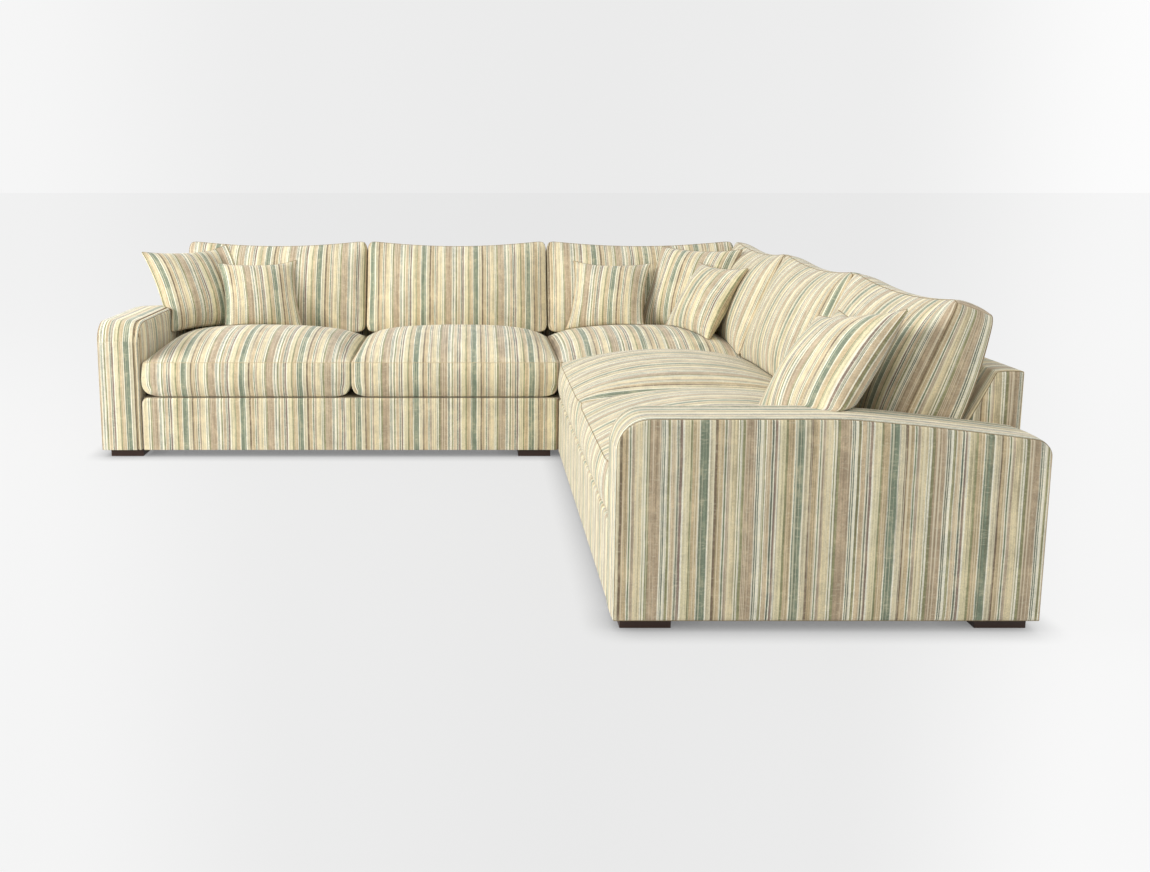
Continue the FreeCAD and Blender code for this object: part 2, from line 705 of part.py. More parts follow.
def seats():
    """The five seat cushions, each in its own place on the decks."""
    gap = size("cushion_gap")
    width = size("seat_width") - gap
    front = size("front")
    bulge = size("seat_front_bulge")
    outer = seat_cushion("left_outer_seat_cushion", size("seat_start") + gap / 2, width,
                         front, size("seat_depth"), bulge)
    inner = seat_cushion("left_inner_seat_cushion", size("seat_start") + size("seat_width") + gap / 2, width,
                         front, size("seat_depth"), bulge)
    corner = seat_cushion("corner_seat_cushion", front + gap / 2, size("seat_depth"),
                          front + gap / 2, size("seat_depth"), 0)
    mirrored("right_inner_seat_cushion", inner)
    mirrored("right_outer_seat_cushion", outer)
    return outer, inner, corner


def walls():
    """What cushions lean on, a running gap proud of it: both backs and the left arm."""
    rear = profile("rear_wall_clear", BACK_OUTLINE, "half_span - seat_start", "seat_start",
                   "front - fit_gap / cos(back_rake)", BACK_ROUNDS)
    side = mirrored("side_wall_clear", rear)
    arm = profile("arm_clear", ARM_OUTLINE, "arm_width + arm_pad + fit_gap", "-half_span", "front", ARM_ROUNDS)
    return rear, side, place(arm, "-half_span", "front", "fit_gap")


def cushions():
    """Every loose cushion, each pressed to the shape of what it rests on and leans on."""
    seat_outer, seat_inner, seat_corner = seats()
    rear_wall, side_wall, arm = walls()
    gap = "fit_gap"
    margin = size("cushion_gap")
    width = size("seat_width") - 2 * margin
    on_outer = moved(seat_outer, z=gap)
    on_inner = moved(seat_inner, z=gap)
    on_corner = moved(seat_corner, z=gap)

    def back(label, start, wide, tools, other_run=False):
        raw = back_cushion(label + "_full", start, wide)
        if other_run:
            raw = mirrored(label + "_turned", raw)
        return raw, pressed(label, raw, tools)

    outer_full, outer_back = back("left_outer_back_cushion", size("seat_start") + margin, width,
                                  [on_outer, rear_wall])
    inner_back = back("left_inner_back_cushion", size("seat_start") + size("seat_width") + margin, width,
                      [on_inner, rear_wall])[1]
    mirrored("right_outer_back_cushion", outer_back)
    mirrored("right_inner_back_cushion", inner_back)
    corner_start = size("front") + margin
    corner_width = size("corner_back_width")
    rear_full = back("corner_rear_back_cushion", corner_start, corner_width, [on_corner, rear_wall])[0]
    under = box(("front", "half_span"), ("front + back_foot_depth - cushion_gap", "half_span"),
                ("base_top", "back_foot_height + 1"))
    side_full = back("corner_side_back_cushion", corner_start, corner_width,
                     [on_corner, side_wall, fullest_back(corner_start - margin, size("half_span")), under],
                     other_run=True)[0]

    large = (size("large_scatter"), size("large_scatter_thickness"))
    small = (size("small_scatter"), size("small_scatter_thickness"))
    arm_side = size("seat_start")
    near = size("front")
    low = size("base_top") + size("seat_edge")

    def scatter(label, kind, along, depth, rise, yaw, lean, tools):
        raw = scatter_cushion(label + "_full", kind[0], kind[1], (along, near + depth, low + rise), yaw, lean)
        return raw, pressed(label, raw, tools)

    on_back = moved(outer_full, y="-" + gap)
    left_full = scatter("left_large_scatter", large, arm_side + 80, 700, 233, 41, 34,
                        [on_outer, on_back, arm])[0]
    scatter("left_small_scatter", small, arm_side + 400, 692, 200, 17, 34,
            [on_outer, on_back, moved(left_full, gap, "-" + gap)])
    other_full, other_small = scatter("other_small_scatter", small, arm_side + 430, 698, 200, -8, 34,
                                      [on_outer, on_back])
    other_large = scatter("other_large_scatter", large, arm_side + 215, 585, 230, -16, 32,
                          [on_outer, on_back, arm, moved(other_full, y="-" + gap)])[1]
    mirrored("right_small_scatter", other_small)
    mirrored("right_large_scatter", other_large)
    on_rear = moved(rear_full, y="-" + gap)
    on_side = moved(side_full, x="-" + gap)
    scatter("corner_left_small_scatter", small, near + 280, 700, 200, -14, 36, [on_corner, on_rear])
    corner_full = scatter("corner_large_scatter", large, near + 650, 664, 236, -38, 28,
                          [on_corner, on_rear, on_side])[0]
    scatter("corner_right_small_scatter", small, near + 668, 400, 210, -67, 32,
            [on_corner, on_side, moved(corner_full, "-" + gap, "-" + gap)])


SIDE_UNIT = ["arm_cover", "arm_pad", "arm_frame", "arm_bolts", "base_cover", "base_frame", "seat_springs",
             "deck", "dust_cloth", "feet", "foot_bolts", "back_cover", "back_frame"]
CORNER_UNIT = ["base_cover", "base_frame", "seat_springs", "deck", "dust_cloth", "feet", "foot_bolts",
               "rear_back_cover", "side_back_cover", "back_frame"]
LOOSE = [
    "left_outer_seat_cushion", "left_inner_seat_cushion", "corner_seat_cushion",
    "right_inner_seat_cushion", "right_outer_seat_cushion",
    "left_outer_back_cushion", "left_inner_back_cushion", "corner_rear_back_cushion",
    "corner_side_back_cushion", "right_inner_back_cushion", "right_outer_back_cushion",
    "left_large_scatter", "left_small_scatter", "corner_left_small_scatter", "corner_large_scatter",
    "corner_right_small_scatter", "right_small_scatter", "right_large_scatter",
]
NODES = (["left_" + piece for piece in SIDE_UNIT] + ["right_" + piece for piece in SIDE_UNIT]
         + ["corner_" + piece for piece in CORNER_UNIT]
         + [side + piece for side in ("left_", "right_") for piece in ("link_plates", "link_screws")]
         + LOOSE)

arm_pieces()
side_base_pieces()
side_back_pieces()
doc.recompute()
for piece in SIDE_UNIT:
    mirrored("right_" + piece, doc.getObjectsByLabel("left_" + piece)[0])
corner_pieces()
link_pieces()
cushions()
doc.recompute()

for item in doc.Objects:
    if "Invalid" in item.State or "Error" in item.State:
        raise RuntimeError("%s did not rebuild: %s" % (item.Label, item.State))
os.makedirs("parts", exist_ok=True)
for node in NODES:
    shape = doc.getObjectsByLabel(node)[0].Shape
    if shape.isNull() or not shape.isValid() or not shape.Solids:
        raise RuntimeError("%s has no sound shape" % node)
    shape.exportStep("parts/%s.step" % node)
    print("%-30s %2d solids %9.1f cm3" % (node, len(shape.Solids), shape.Volume / 1000))
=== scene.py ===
"""Corner sofa in striped fabric: covers, cushions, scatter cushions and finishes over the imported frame.

The left run stands along +Y and faces -Y. The right run is the same with X and Y changed over, so most
pieces are worked out once, in the left run, and turned by changing those two columns.
"""
import json

import bpy
import numpy as np
from bpy.props import FloatProperty, FloatVectorProperty, PointerProperty
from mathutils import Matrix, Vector
from mathutils.bvhtree import BVHTree


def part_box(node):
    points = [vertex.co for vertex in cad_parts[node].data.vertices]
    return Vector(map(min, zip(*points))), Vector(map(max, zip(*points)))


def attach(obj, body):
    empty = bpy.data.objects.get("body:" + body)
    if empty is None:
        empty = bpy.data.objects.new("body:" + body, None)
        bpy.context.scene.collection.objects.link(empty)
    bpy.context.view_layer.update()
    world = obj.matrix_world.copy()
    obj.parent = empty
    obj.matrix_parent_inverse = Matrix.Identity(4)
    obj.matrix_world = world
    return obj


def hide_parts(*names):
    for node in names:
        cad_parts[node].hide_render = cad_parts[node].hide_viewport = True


bl_info = {
    "name": "Corner sofa",
    "version": (1, 0),
    "blender": (4, 5, 0),
    "location": "View3D > Sidebar > Sofa",
    "description": "Builds the covers, cushions and finishes of a corner sofa over its packed frame",
    "category": "Object",
}

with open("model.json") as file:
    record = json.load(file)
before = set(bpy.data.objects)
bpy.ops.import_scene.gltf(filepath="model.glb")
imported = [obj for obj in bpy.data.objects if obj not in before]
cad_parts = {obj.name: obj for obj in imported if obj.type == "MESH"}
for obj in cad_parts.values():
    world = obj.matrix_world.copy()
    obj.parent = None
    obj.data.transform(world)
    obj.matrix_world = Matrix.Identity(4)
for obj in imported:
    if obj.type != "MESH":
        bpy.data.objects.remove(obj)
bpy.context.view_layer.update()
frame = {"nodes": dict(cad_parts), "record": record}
RUN_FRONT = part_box("left_base_cover")[0][1]

FRAME_BODY = "frame"
FABRIC = "striped_fabric"
DIMS = range(3)

# One repeat of the stripes: where each begins, as a share of the repeat, and its colour.
STRIPES = [
    (0.0, "sage"), (0.088, "cream"), (0.102, "stone"), (0.153, "brown"), (0.181, "tan"), (0.243, "cream"),
    (0.254, "leaf"), (0.270, "cream"), (0.283, "mauve"), (0.314, "sand"), (0.394, "cream"),
    (0.403, "olive"), (0.416, "cream"), (0.434, "olive"), (0.467, "taupe"), (0.584, "cream"),
    (0.595, "teal"), (0.606, "cream"), (0.615, "teal"), (0.628, "cream"), (0.659, "olive"),
    (0.686, "cream"), (0.696, "rose"), (0.743, "cream"), (0.752, "teal"), (0.773, "cream"),
    (0.785, "plum"), (0.810, "cream"), (0.832, "straw"), (0.898, "olive"), (0.920, "tan"),
    (0.987, "cream"),
]


def linear(red, green, blue):
    """A colour given in 0 to 255 display steps as the linear values that shaders use."""
    share = np.array([red, green, blue]) / 255
    return tuple(np.where(share <= 0.04045, share / 12.92, ((share + 0.055) / 1.055) ** 2.4))


COLOURS = {
    "sage": (134, 146, 124), "cream": (246, 242, 222), "stone": (222, 212, 180), "brown": (136, 119, 97),
    "tan": (207, 187, 150), "leaf": (128, 140, 109), "mauve": (190, 173, 149), "sand": (231, 217, 178),
    "olive": (154, 153, 114), "taupe": (188, 168, 140), "teal": (115, 125, 107), "rose": (209, 189, 156),
    "plum": (150, 131, 117), "straw": (229, 219, 180),
}


def colour_setting(name):
    """A colour of the stripes as a setting."""
    return FloatVectorProperty(name=name.capitalize(), description="Colour of the %s stripes" % name,
                               subtype="COLOR", min=0, max=1, default=linear(*COLOURS[name]))


class SofaFabric(bpy.types.PropertyGroup):
    """The striped fabric."""
    repeat: FloatProperty(name="Repeat", description="Width of one repeat of the stripes",
                          default=0.2392, unit="LENGTH")
    first_green: FloatProperty(name="First stripe", description="Where a green stripe begins along a run",
                               default=-0.680, unit="LENGTH")
    sage: colour_setting("sage")
    cream: colour_setting("cream")
    stone: colour_setting("stone")
    brown: colour_setting("brown")
    tan: colour_setting("tan")
    leaf: colour_setting("leaf")
    mauve: colour_setting("mauve")
    sand: colour_setting("sand")
    olive: colour_setting("olive")
    taupe: colour_setting("taupe")
    teal: colour_setting("teal")
    rose: colour_setting("rose")
    plum: colour_setting("plum")
    straw: colour_setting("straw")


class SofaShape(bpy.types.PropertyGroup):
    """Sizes of the upholstery."""
    seam: FloatProperty(name="Seam", description="Radius of the cord in a seam", default=0.0012,
                        unit="LENGTH")
    groove: FloatProperty(name="Groove", description="How far a seam is drawn in", default=0.003,
                          unit="LENGTH")
    seat_crown: FloatProperty(name="Seat crown", description="Rise of a seat's top over its seams",
                              default=0.084, unit="LENGTH")
    seat_edge: FloatProperty(name="Seat edge", description="Height of a seat's sewn side", default=0.150,
                             unit="LENGTH")
    seat_corner: FloatProperty(name="Seat corner", description="Round of a seat's lower corners",
                               default=0.060, unit="LENGTH")
    back_crown: FloatProperty(name="Back crown", description="Swell of a back cushion's front",
                              default=0.042, unit="LENGTH")
    back_dip: FloatProperty(name="Back dip", description="Dip of a back cushion's top edge",
                            default=0.027, unit="LENGTH")
    pressure: FloatProperty(name="Filling", description="Pressure of a cushion's filling in the simulation",
                            default=4.0)


class SofaStage(bpy.types.PropertyGroup):
    """The floor, the light and the background."""
    ambient: FloatProperty(name="Ambient", description="Strength of the light from all round", default=0.80)
    key: FloatProperty(name="Key", description="Power of the lamp at the upper left", default=325.0,
                       unit="POWER")


def fabric_settings():
    """The settings of the fabric."""
    return bpy.context.scene.sofa_fabric


def shape_settings():
    """The settings of the upholstery."""
    return bpy.context.scene.sofa_shape


def finish_of(slot):
    """The material made for a slot."""
    return bpy.data.materials["finish_" + slot]


def lattice_box(across, deep, high):
    """The surface of a box-shaped lattice: its three coordinates, four-sided faces that look outwards,
    the panel that each face is on (both ends of X, then of Y, then of Z) and the index columns of its
    points."""
    shape = (len(across), len(deep), len(high))
    ids = np.arange(np.prod(shape)).reshape(shape)

    def panel(plane, turn):
        quads = np.stack([plane[:-1, :-1], plane[1:, :-1], plane[1:, 1:], plane[:-1, 1:]], -1).reshape(-1, 4)
        return quads[:, ::-1] if turn else quads

    sides = [panel(ids[0], True), panel(ids[-1], False), panel(ids[:, 0], False),
             panel(ids[:, -1], True), panel(ids[:, :, 0], True), panel(ids[:, :, -1], False)]
    panels = np.repeat(np.arange(6), [len(side) for side in sides])
    used, faces = np.unique(np.concatenate(sides), return_inverse=True)
    index = np.array(np.unravel_index(used, shape)).T
    points = np.column_stack([across[index[:, 0]], deep[index[:, 1]], high[index[:, 2]]])
    return points, faces.reshape(-1, 4), panels, index


def spaced(low, high, step, close=()):
    """Even steps between two values, with further lines close to both ends."""
    count = max(2, int(round((high - low) / step)))
    even = np.linspace(low, high, count + 1)
    extra = [low + c for c in close] + [high - c for c in close]
    keep = even[1:-1]
    for value in extra:
        keep = keep[np.abs(keep - value) > 0.4 * step]
    inner = [v for v in keep if not close or low + max(close) < v < high - max(close)]
    return np.array(sorted([low, high] + extra + inner))


def rim(index, axis, end):
    """The closed row of points round one panel of a lattice box, in order."""
    last = index.max(0)
    one, two = [k for k in DIMS if k != axis]
    wall = np.flatnonzero(index[:, axis] == (last[axis] if end else 0))
    a, b = index[wall, one], index[wall, two]
    edge = (a == 0) | (a == last[one]) | (b == 0) | (b == last[two])
    wall, a, b = wall[edge], a[edge], b[edge]
    walk = np.where(b == 0, a, 0)
    walk = np.where((a == last[one]) & (b > 0), last[one] + b, walk)
    walk = np.where((b == last[two]) & (a < last[one]), 2 * last[one] + last[two] - a, walk)
    walk = np.where((a == 0) & (b > 0) & (b < last[two]), 2 * (last[one] + last[two]) - b, walk)
    return wall[np.argsort(walk)]


# Where a green stripe begins along Y on the pieces that are fixed to the frame, and on the seats.
SIDE_GREEN = 0.628
# For the two panels at the ends of each axis: the columns that run across and along the stripes.
GRAIN = ((1, 2), (1, 2), (0, 2), (0, 2), (0, 1), (0, 1))
FLAT_GRAIN = ((0, 2),) * 6


def cloth_map(cloth, faces, panels, greens, grain=GRAIN):
    """A UV map in metres: for every face, one column of the cloth's coordinates runs across the stripes
    and another along them, by the panel that the face is on. A green stripe begins where each of the
    greens says in X and in Y, or in X where the setting says."""
    first = [fabric_settings().first_green if greens[0] is None else greens[0], greens[1], 0]
    pick = np.repeat(np.array(grain)[panels][:, None, :], 4, 1)
    return np.take_along_axis((cloth - first)[faces], pick, 2)


def swapped(points, faces, uv):
    """The same piece in the other run: X and Y change places, and the faces turn over."""
    return points[:, [1, 0, 2]], faces[:, ::-1], uv[:, ::-1]


def merged(parts):
    """Several meshes as one: their points, faces and maps in a row."""
    start = np.cumsum([0] + [len(p[0]) for p in parts[:-1]])
    return (np.concatenate([p[0] for p in parts]),
            np.concatenate([p[1] + s for p, s in zip(parts, start)]),
            np.concatenate([p[2] for p in parts]))


def mesh_piece(name, points, faces, uv, slot=FABRIC, levels=1):
    """A mesh object with a map named cloth, smooth faces and a subdivision to finish it."""
    mesh = bpy.data.meshes.new(name)
    mesh.from_pydata(points.tolist(), [], faces.tolist())
    layer = mesh.uv_layers.new(name="cloth")
    layer.data.foreach_set("uv", np.ascontiguousarray(uv, float).ravel())
    mesh.shade_smooth()
    mesh.materials.append(finish_of(slot))
    piece = bpy.data.objects.new(name, mesh)
    bpy.context.scene.collection.objects.link(piece)
    if levels:
        smooth = piece.modifiers.new("Smooth", "SUBSURF")
        smooth.levels = smooth.render_levels = levels
    return piece


def final_points(piece):
    """The points of a piece after its modifiers."""
    graph = bpy.context.evaluated_depsgraph_get()
    done = piece.evaluated_get(graph).data
    found = np.empty(len(done.vertices) * 3)
    done.vertices.foreach_get("co", found)
    return found.reshape(-1, 3)


def points_of(piece):
    """The points of a piece's own mesh."""
    found = np.empty(len(piece.data.vertices) * 3)
    piece.data.vertices.foreach_get("co", found)
    return found.reshape(-1, 3)


def set_points(piece, points):
    """Move the points of a piece's own mesh."""
    piece.data.vertices.foreach_set("co", np.ascontiguousarray(points, float).ravel())
    piece.data.update()


def cord_mesh(path, radius, sides=6):
    """A round cord along a closed row of points: at each point, a ring in the plane of the path's normal
    and binormal, radius times the cosine along one and the sine along the other."""
    path = np.concatenate([path, path[:1]])
    path = path[np.concatenate([[True], np.linalg.norm(np.diff(path, axis=0), axis=1) > 1e-5])][:-1]
    ahead = np.roll(path, -1, 0) - np.roll(path, 1, 0)
    ahead /= np.linalg.norm(ahead, axis=1)[:, None]
    middle = path - path.mean(0)
    out = middle - (middle * ahead).sum(1)[:, None] * ahead
    out /= np.linalg.norm(out, axis=1)[:, None]
    up = np.cross(ahead, out)
    turn = np.arange(sides) * 2 * np.pi / sides
    rings = path[:, None] + radius * (np.cos(turn)[None, :, None] * out[:, None]
                                      + np.sin(turn)[None, :, None] * up[:, None])
    count = len(path)
    ids = np.arange(count * sides).reshape(count, sides)
    right = np.roll(ids, -1, 1)
    faces = np.stack([ids, right, np.roll(right, -1, 0), np.roll(ids, -1, 0)], -1).reshape(-1, 4)
    walk = np.concatenate([[0], np.cumsum(np.linalg.norm(np.diff(path, axis=0), axis=1))])
    along = np.repeat(walk, sides)[faces]
    uv = np.stack([along * 0 + 0.3, along], -1)
    return rings.reshape(-1, 3), faces, uv


def dress(piece, node, body, loops=(), seam_shade_slot="seam_thread"):
    """Tie a padded piece to its body, hide the node that it stands for, and lay cords in
    its seams: along its finished surface, on the rows of points that the loops name."""
    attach(piece, body)
    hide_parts(node)
    # The cords are the seams' thread and also painted shade: a darkened fabric colour that stands for the
    # shade in each crease.
    if loops:
        points = final_points(piece)
        cords = merged([cord_mesh(points[loop], shape_settings().seam) for loop in loops])
        cord = mesh_piece(node + "_seams", *cords, seam_shade_slot, levels=0)
        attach(cord, body)


def arch(share, power=2.0, soft=1.0):
    """0 at both ends and 1 in the middle: one less the distance from the middle to a power."""
    return np.clip(1 - np.abs(2 * share - 1) ** power, 0, 1) ** soft


def ripple(one, two, seed, waves=5, longest=0.5):
    """A gentle unevenness between -1 and 1: a few sine waves across two coordinates, from a fixed seed."""
    pick = np.random.default_rng(seed)
    total = np.zeros_like(one)
    for _ in range(waves):
        turn, start = pick.uniform(0, 2 * np.pi, 2)
        length = pick.uniform(0.3, 1.0) * longest
        total += np.sin(2 * np.pi * (one * np.cos(turn) + two * np.sin(turn)) / length + start)
    return total / waves


def eased(one, two, radius):
    """Distances inside two faces that meet in an edge, changed so that the edge is round: near it, the
    direction from the round's centre stays and the greater of the two distances becomes the length."""
    d_one, d_two = radius - one, radius - two
    near = (d_one > 0) & (d_two > 0)
    scale = np.where(near, np.maximum(d_one, d_two) / (np.hypot(d_one, d_two) + 1e-12), 1.0)
    return np.where(near, radius - d_one * scale, one), np.where(near, radius - d_two * scale, two)


def swell(piece, cap, pinned):
    """Fill a closed cushion with air for 20 frames and keep what its points then do, up to a greatest
    travel. The pinned points stay."""
    start = points_of(piece)
    finish = piece.modifiers["Smooth"]
    finish.show_viewport = False
    group = piece.vertex_groups.new(name="seams")
    group.add([int(p) for p in pinned], 1.0, "REPLACE")
    cloth = piece.modifiers.new("Cloth", "CLOTH")
    settings = cloth.settings
    settings.quality = 4
    settings.mass = 0.3
    settings.tension_stiffness = settings.compression_stiffness = 12
    settings.shear_stiffness = 4
    settings.bending_stiffness = 0.8
    settings.use_pressure = True
    settings.uniform_pressure_force = shape_settings().pressure
    settings.vertex_group_mass = group.name
    settings.effector_weights.gravity = 0
    cloth.collision_settings.use_collision = False
    cloth.point_cache.frame_start, cloth.point_cache.frame_end = 1, 20
    scene = bpy.context.scene
    for step in range(1, 21):
        scene.frame_set(step)
    moved = final_points(piece)
    scene.frame_set(1)
    piece.modifiers.remove(cloth)
    piece.vertex_groups.clear()
    finish.show_viewport = True
    travel = moved - start
    length = np.linalg.norm(travel, axis=1)[:, None] + 1e-12
    set_points(piece, start + travel * np.minimum(1, cap / length))


def keep_off(piece, others, way, gap=0.002, reach=0.45):
    """Keep a piece in front of other nodes' pieces: along one way, from well before each of its points,
    the first surface met is as far as the point may go."""
    graph = bpy.context.evaluated_depsgraph_get()
    points = points_of(piece)
    way = np.array(way, float) / np.linalg.norm(way)
    line = Vector(way)
    for other in others:
        tree = BVHTree.FromObject(bpy.data.objects[other + "_fabric"], graph)
        for number, start in enumerate(points - way * reach):
            far = tree.ray_cast(Vector(start), line, reach + gap)[3]
            if far is not None:
                points[number] = start + way * (far - gap)
    set_points(piece, points)


def shorten(piece, other, axis, length=0.30, gap=0.004):
    """Squeeze a cushion's far end so that it stops at another piece: from a start line, every point goes
    the same share of its way to the far end as the other piece's surface lies along it."""
    graph = bpy.context.evaluated_depsgraph_get()
    points = points_of(piece)
    way = np.eye(3)[axis]
    end = points[:, axis].max()
    tree = BVHTree.FromObject(bpy.data.objects[other + "_fabric"], graph)
    for number in np.flatnonzero(points[:, axis] > end - length):
        start = points[number].copy()
        walk = start[axis] - (end - length)
        start[axis] = end - length
        far = tree.ray_cast(Vector(start), Vector(way), length)[3]
        if far is not None:
            points[number, axis] = end - length + walk * max(far - gap, 0) / length
    set_points(piece, points)


def add_node(tree, kind, inputs=None, **settings):
    """A node of a kind with its settings. Each input, by name or number, is a value, a colour's three
    values or another node's output."""
    node = tree.nodes.new(kind)
    for key, value in settings.items():
        setattr(node, key, value)
    for key, value in (inputs or {}).items():
        if isinstance(value, bpy.types.NodeSocket):
            tree.links.new(value, node.inputs[key])
        elif node.inputs[key].type == "RGBA":
            node.inputs[key].default_value = (*value, 1)
        else:
            node.inputs[key].default_value = value
    return node


def math_node(tree, operation, one, two=0.0):
    """A sum of two values or sockets."""
    return add_node(tree, "ShaderNodeMath", {0: one, 1: two}, operation=operation).outputs[0]


def mapped(tree, value, low, high, to_low=0.0, to_high=1.0):
    """A value from one range brought to another."""
    return add_node(tree, "ShaderNodeMapRange",
                    {0: value, 1: low, 2: high, 3: to_low, 4: to_high}).outputs[0]


def mix_colour(tree, share, one, two, blend="MIX"):
    """Two colours mixed, each a socket or a colour."""
    return add_node(tree, "ShaderNodeMix", {0: share, 6: one, 7: two}, data_type="RGBA",
                    blend_type=blend).outputs[2]


def grey(tree, value):
    """A value as a colour."""
    return add_node(tree, "ShaderNodeCombineColor", dict.fromkeys(DIMS, value)).outputs[0]


def colour_ramp(tree, value, interpolation, stops):
    """The colour that stands at a value, from rows of where each begins and its colour."""
    node = add_node(tree, "ShaderNodeValToRGB", {0: value})
    ramp = node.color_ramp
    ramp.interpolation = interpolation
    ramp.elements.remove(ramp.elements[1])
    for number, (start, colour) in enumerate(stops):
        stop = ramp.elements.new(start) if number else ramp.elements[0]
        stop.position = start
        stop.color = (*colour, 1)
    return node.outputs[0]


def scaled_noise(tree, vector, scale, detail=2.0, roughness=0.5):
    """Noise over a vector that is first scaled along each axis."""
    scaled = add_node(tree, "ShaderNodeMapping", {"Vector": vector, "Scale": scale})
    inputs = {"Vector": scaled.outputs[0], "Scale": 1.0, "Detail": detail, "Roughness": roughness}
    return add_node(tree, "ShaderNodeTexNoise", inputs).outputs["Fac"]


def arrange(tree):
    """Lay a tree's nodes out in columns, each one to the left of the nodes that it leads to."""
    column = dict.fromkeys(tree.nodes, 0)
    for _ in tree.nodes:
        for link in tree.links:
            column[link.from_node] = max(column[link.from_node], column[link.to_node] + 1)
    rows = {}
    for node, place in column.items():
        rows[place] = rows.get(place, 0) + 1
        node.location = (-220 * place, -260 * rows[place])


def shader_group(name, source, outputs):
    """An empty shader group over a vector: its tree, the vector and the node that takes its outputs."""
    tree = bpy.data.node_groups.new(name, "ShaderNodeTree")
    tree.interface.new_socket(source, in_out="INPUT", socket_type="NodeSocketVector")
    for label in outputs:
        tree.interface.new_socket(label, in_out="OUTPUT", socket_type="NodeSocketFloat")
    return tree, add_node(tree, "NodeGroupInput").outputs[0], add_node(tree, "NodeGroupOutput").inputs


def cloth_group():
    """Woven cloth over a map in metres: streaks along the yarns, the grain of the weave, how the dye has
    faded in soft blotches, the slubs that lie across the stripes, and the height of the weave."""
    tree, cloth, ends = shader_group("woven_cloth", "Cloth", ("Streak", "Grain", "Fade", "Slub", "Height"))
    broad = scaled_noise(tree, cloth, (13, 11, 1), 4, 0.62)
    fine = scaled_noise(tree, cloth, (75, 40, 1), 3, 0.65)
    slub = scaled_noise(tree, cloth, (42, 190, 1), 3, 0.6)
    weave = [scaled_noise(tree, cloth, scale, 1, 0.5) for scale in ((1300, 260, 1), (260, 1300, 1))]
    parts = {
        "Streak": scaled_noise(tree, cloth, (150, 5, 1), 3, 0.7),
        "Grain": scaled_noise(tree, cloth, (330, 250, 1), 3, 0.7),
        "Fade": math_node(tree, "ADD", math_node(tree, "MULTIPLY", broad, 0.6),
                          math_node(tree, "MULTIPLY", fine, 0.4)),
        "Slub": mapped(tree, slub, 0.56, 0.70),
        "Height": math_node(tree, "ADD", *weave),
    }
    for label, value in parts.items():
        tree.links.new(value, ends[label])
    arrange(tree)


def wood_group():
    """Wood along X: fine pores and broad bands, both drawn out along the grain."""
    tree, place, ends = shader_group("wood_grain", "Place", ("Bands", "Pores"))
    tree.links.new(scaled_noise(tree, place, (2.5, 45, 45), 5, 0.6), ends["Bands"])
    tree.links.new(scaled_noise(tree, place, (14, 420, 420), 3, 0.6), ends["Pores"])
    arrange(tree)


def principled(name, roughness, **values):
    """The tree of a new material with one Principled shader, and that shader's inputs."""
    material = bpy.data.materials.new("finish_" + name)
    material.use_nodes = True
    inputs = material.node_tree.nodes["Principled BSDF"].inputs
    inputs["Roughness"].default_value = roughness
    for label, value in values.items():
        inputs[label.replace("_", " ")].default_value = value
    return material.node_tree, inputs


def finish(tree, inputs, colour, height=None, strength=0.0, distance=0.0):
    """Give a shader its colour and, where there is a height, its bump."""
    tree.links.new(colour, inputs["Base Color"])
    if height:
        bump = {"Strength": strength, "Distance": distance, "Height": height}
        tree.links.new(add_node(tree, "ShaderNodeBump", bump).outputs[0], inputs["Normal"])
    arrange(tree)


def object_place(tree):
    """The place on a piece, in metres from its origin."""
    return add_node(tree, "ShaderNodeTexCoord").outputs["Object"]


def group_outputs(tree, name, vector):
    """The outputs of a shader group over a vector."""
    return add_node(tree, "ShaderNodeGroup", {0: vector}, node_tree=bpy.data.node_groups[name]).outputs


def striped_fabric():
    """The sofa's fabric: a ramp of constant steps over one repeat, its edges made soft by the weave, its
    colours varied yarn by yarn, lined, faded in blotches and crossed by pale slubs."""
    settings = fabric_settings()
    tree, inputs = principled(FABRIC, 0.86, Sheen_Weight=0.22, Sheen_Roughness=0.55,
                              Specular_IOR_Level=0.22)
    uv = add_node(tree, "ShaderNodeUVMap", uv_map="cloth").outputs[0]
    weave = group_outputs(tree, "woven_cloth", uv)
    across = add_node(tree, "ShaderNodeSeparateXYZ", {0: uv}).outputs[0]
    for scale, detail, rough, reach in (((260, 520, 1), 2, 0.6, 0.0022), ((9, 7, 1), 1, 0.5, 0.0040)):
        stray = math_node(tree, "SUBTRACT", scaled_noise(tree, uv, scale, detail, rough), 0.5)
        across = math_node(tree, "ADD", across, math_node(tree, "MULTIPLY", stray, reach))
    share = math_node(tree, "FRACT", math_node(tree, "DIVIDE", across, settings.repeat))
    stops = [(start, getattr(settings, name)) for start, name in STRIPES]
    colour = colour_ramp(tree, share, "CONSTANT", stops)
    level = 1.0
    for label, low, high in (("Streak", 0.80, 1.15), ("Grain", 0.80, 1.18), ("Fade", 0.78, 1.18)):
        level = math_node(tree, "MULTIPLY", mapped(tree, weave[label], 0.32, 0.68, low, high), level)
    colour = mix_colour(tree, 1.0, colour, grey(tree, level), "MULTIPLY")
    line = scaled_noise(tree, uv, (235, 0.8, 1), 1, 0.5)
    for start, end, most, tint in ((0.57, 0.61, 0.60, linear(240, 232, 204)),
                                   (0.42, 0.38, 0.42, linear(118, 108, 82))):
        colour = mix_colour(tree, mapped(tree, line, start, end, 0.0, most), colour, tint)
    worn = mapped(tree, weave["Fade"], 0.50, 0.70, 0.0, 0.40)
    colour = mix_colour(tree, worn, colour, linear(234, 216, 178))
    slubs = math_node(tree, "MULTIPLY", weave["Slub"], 0.34)
    colour = mix_colour(tree, slubs, colour, linear(232, 224, 194))
    finish(tree, inputs, colour, weave["Height"], 0.35, 0.0006)


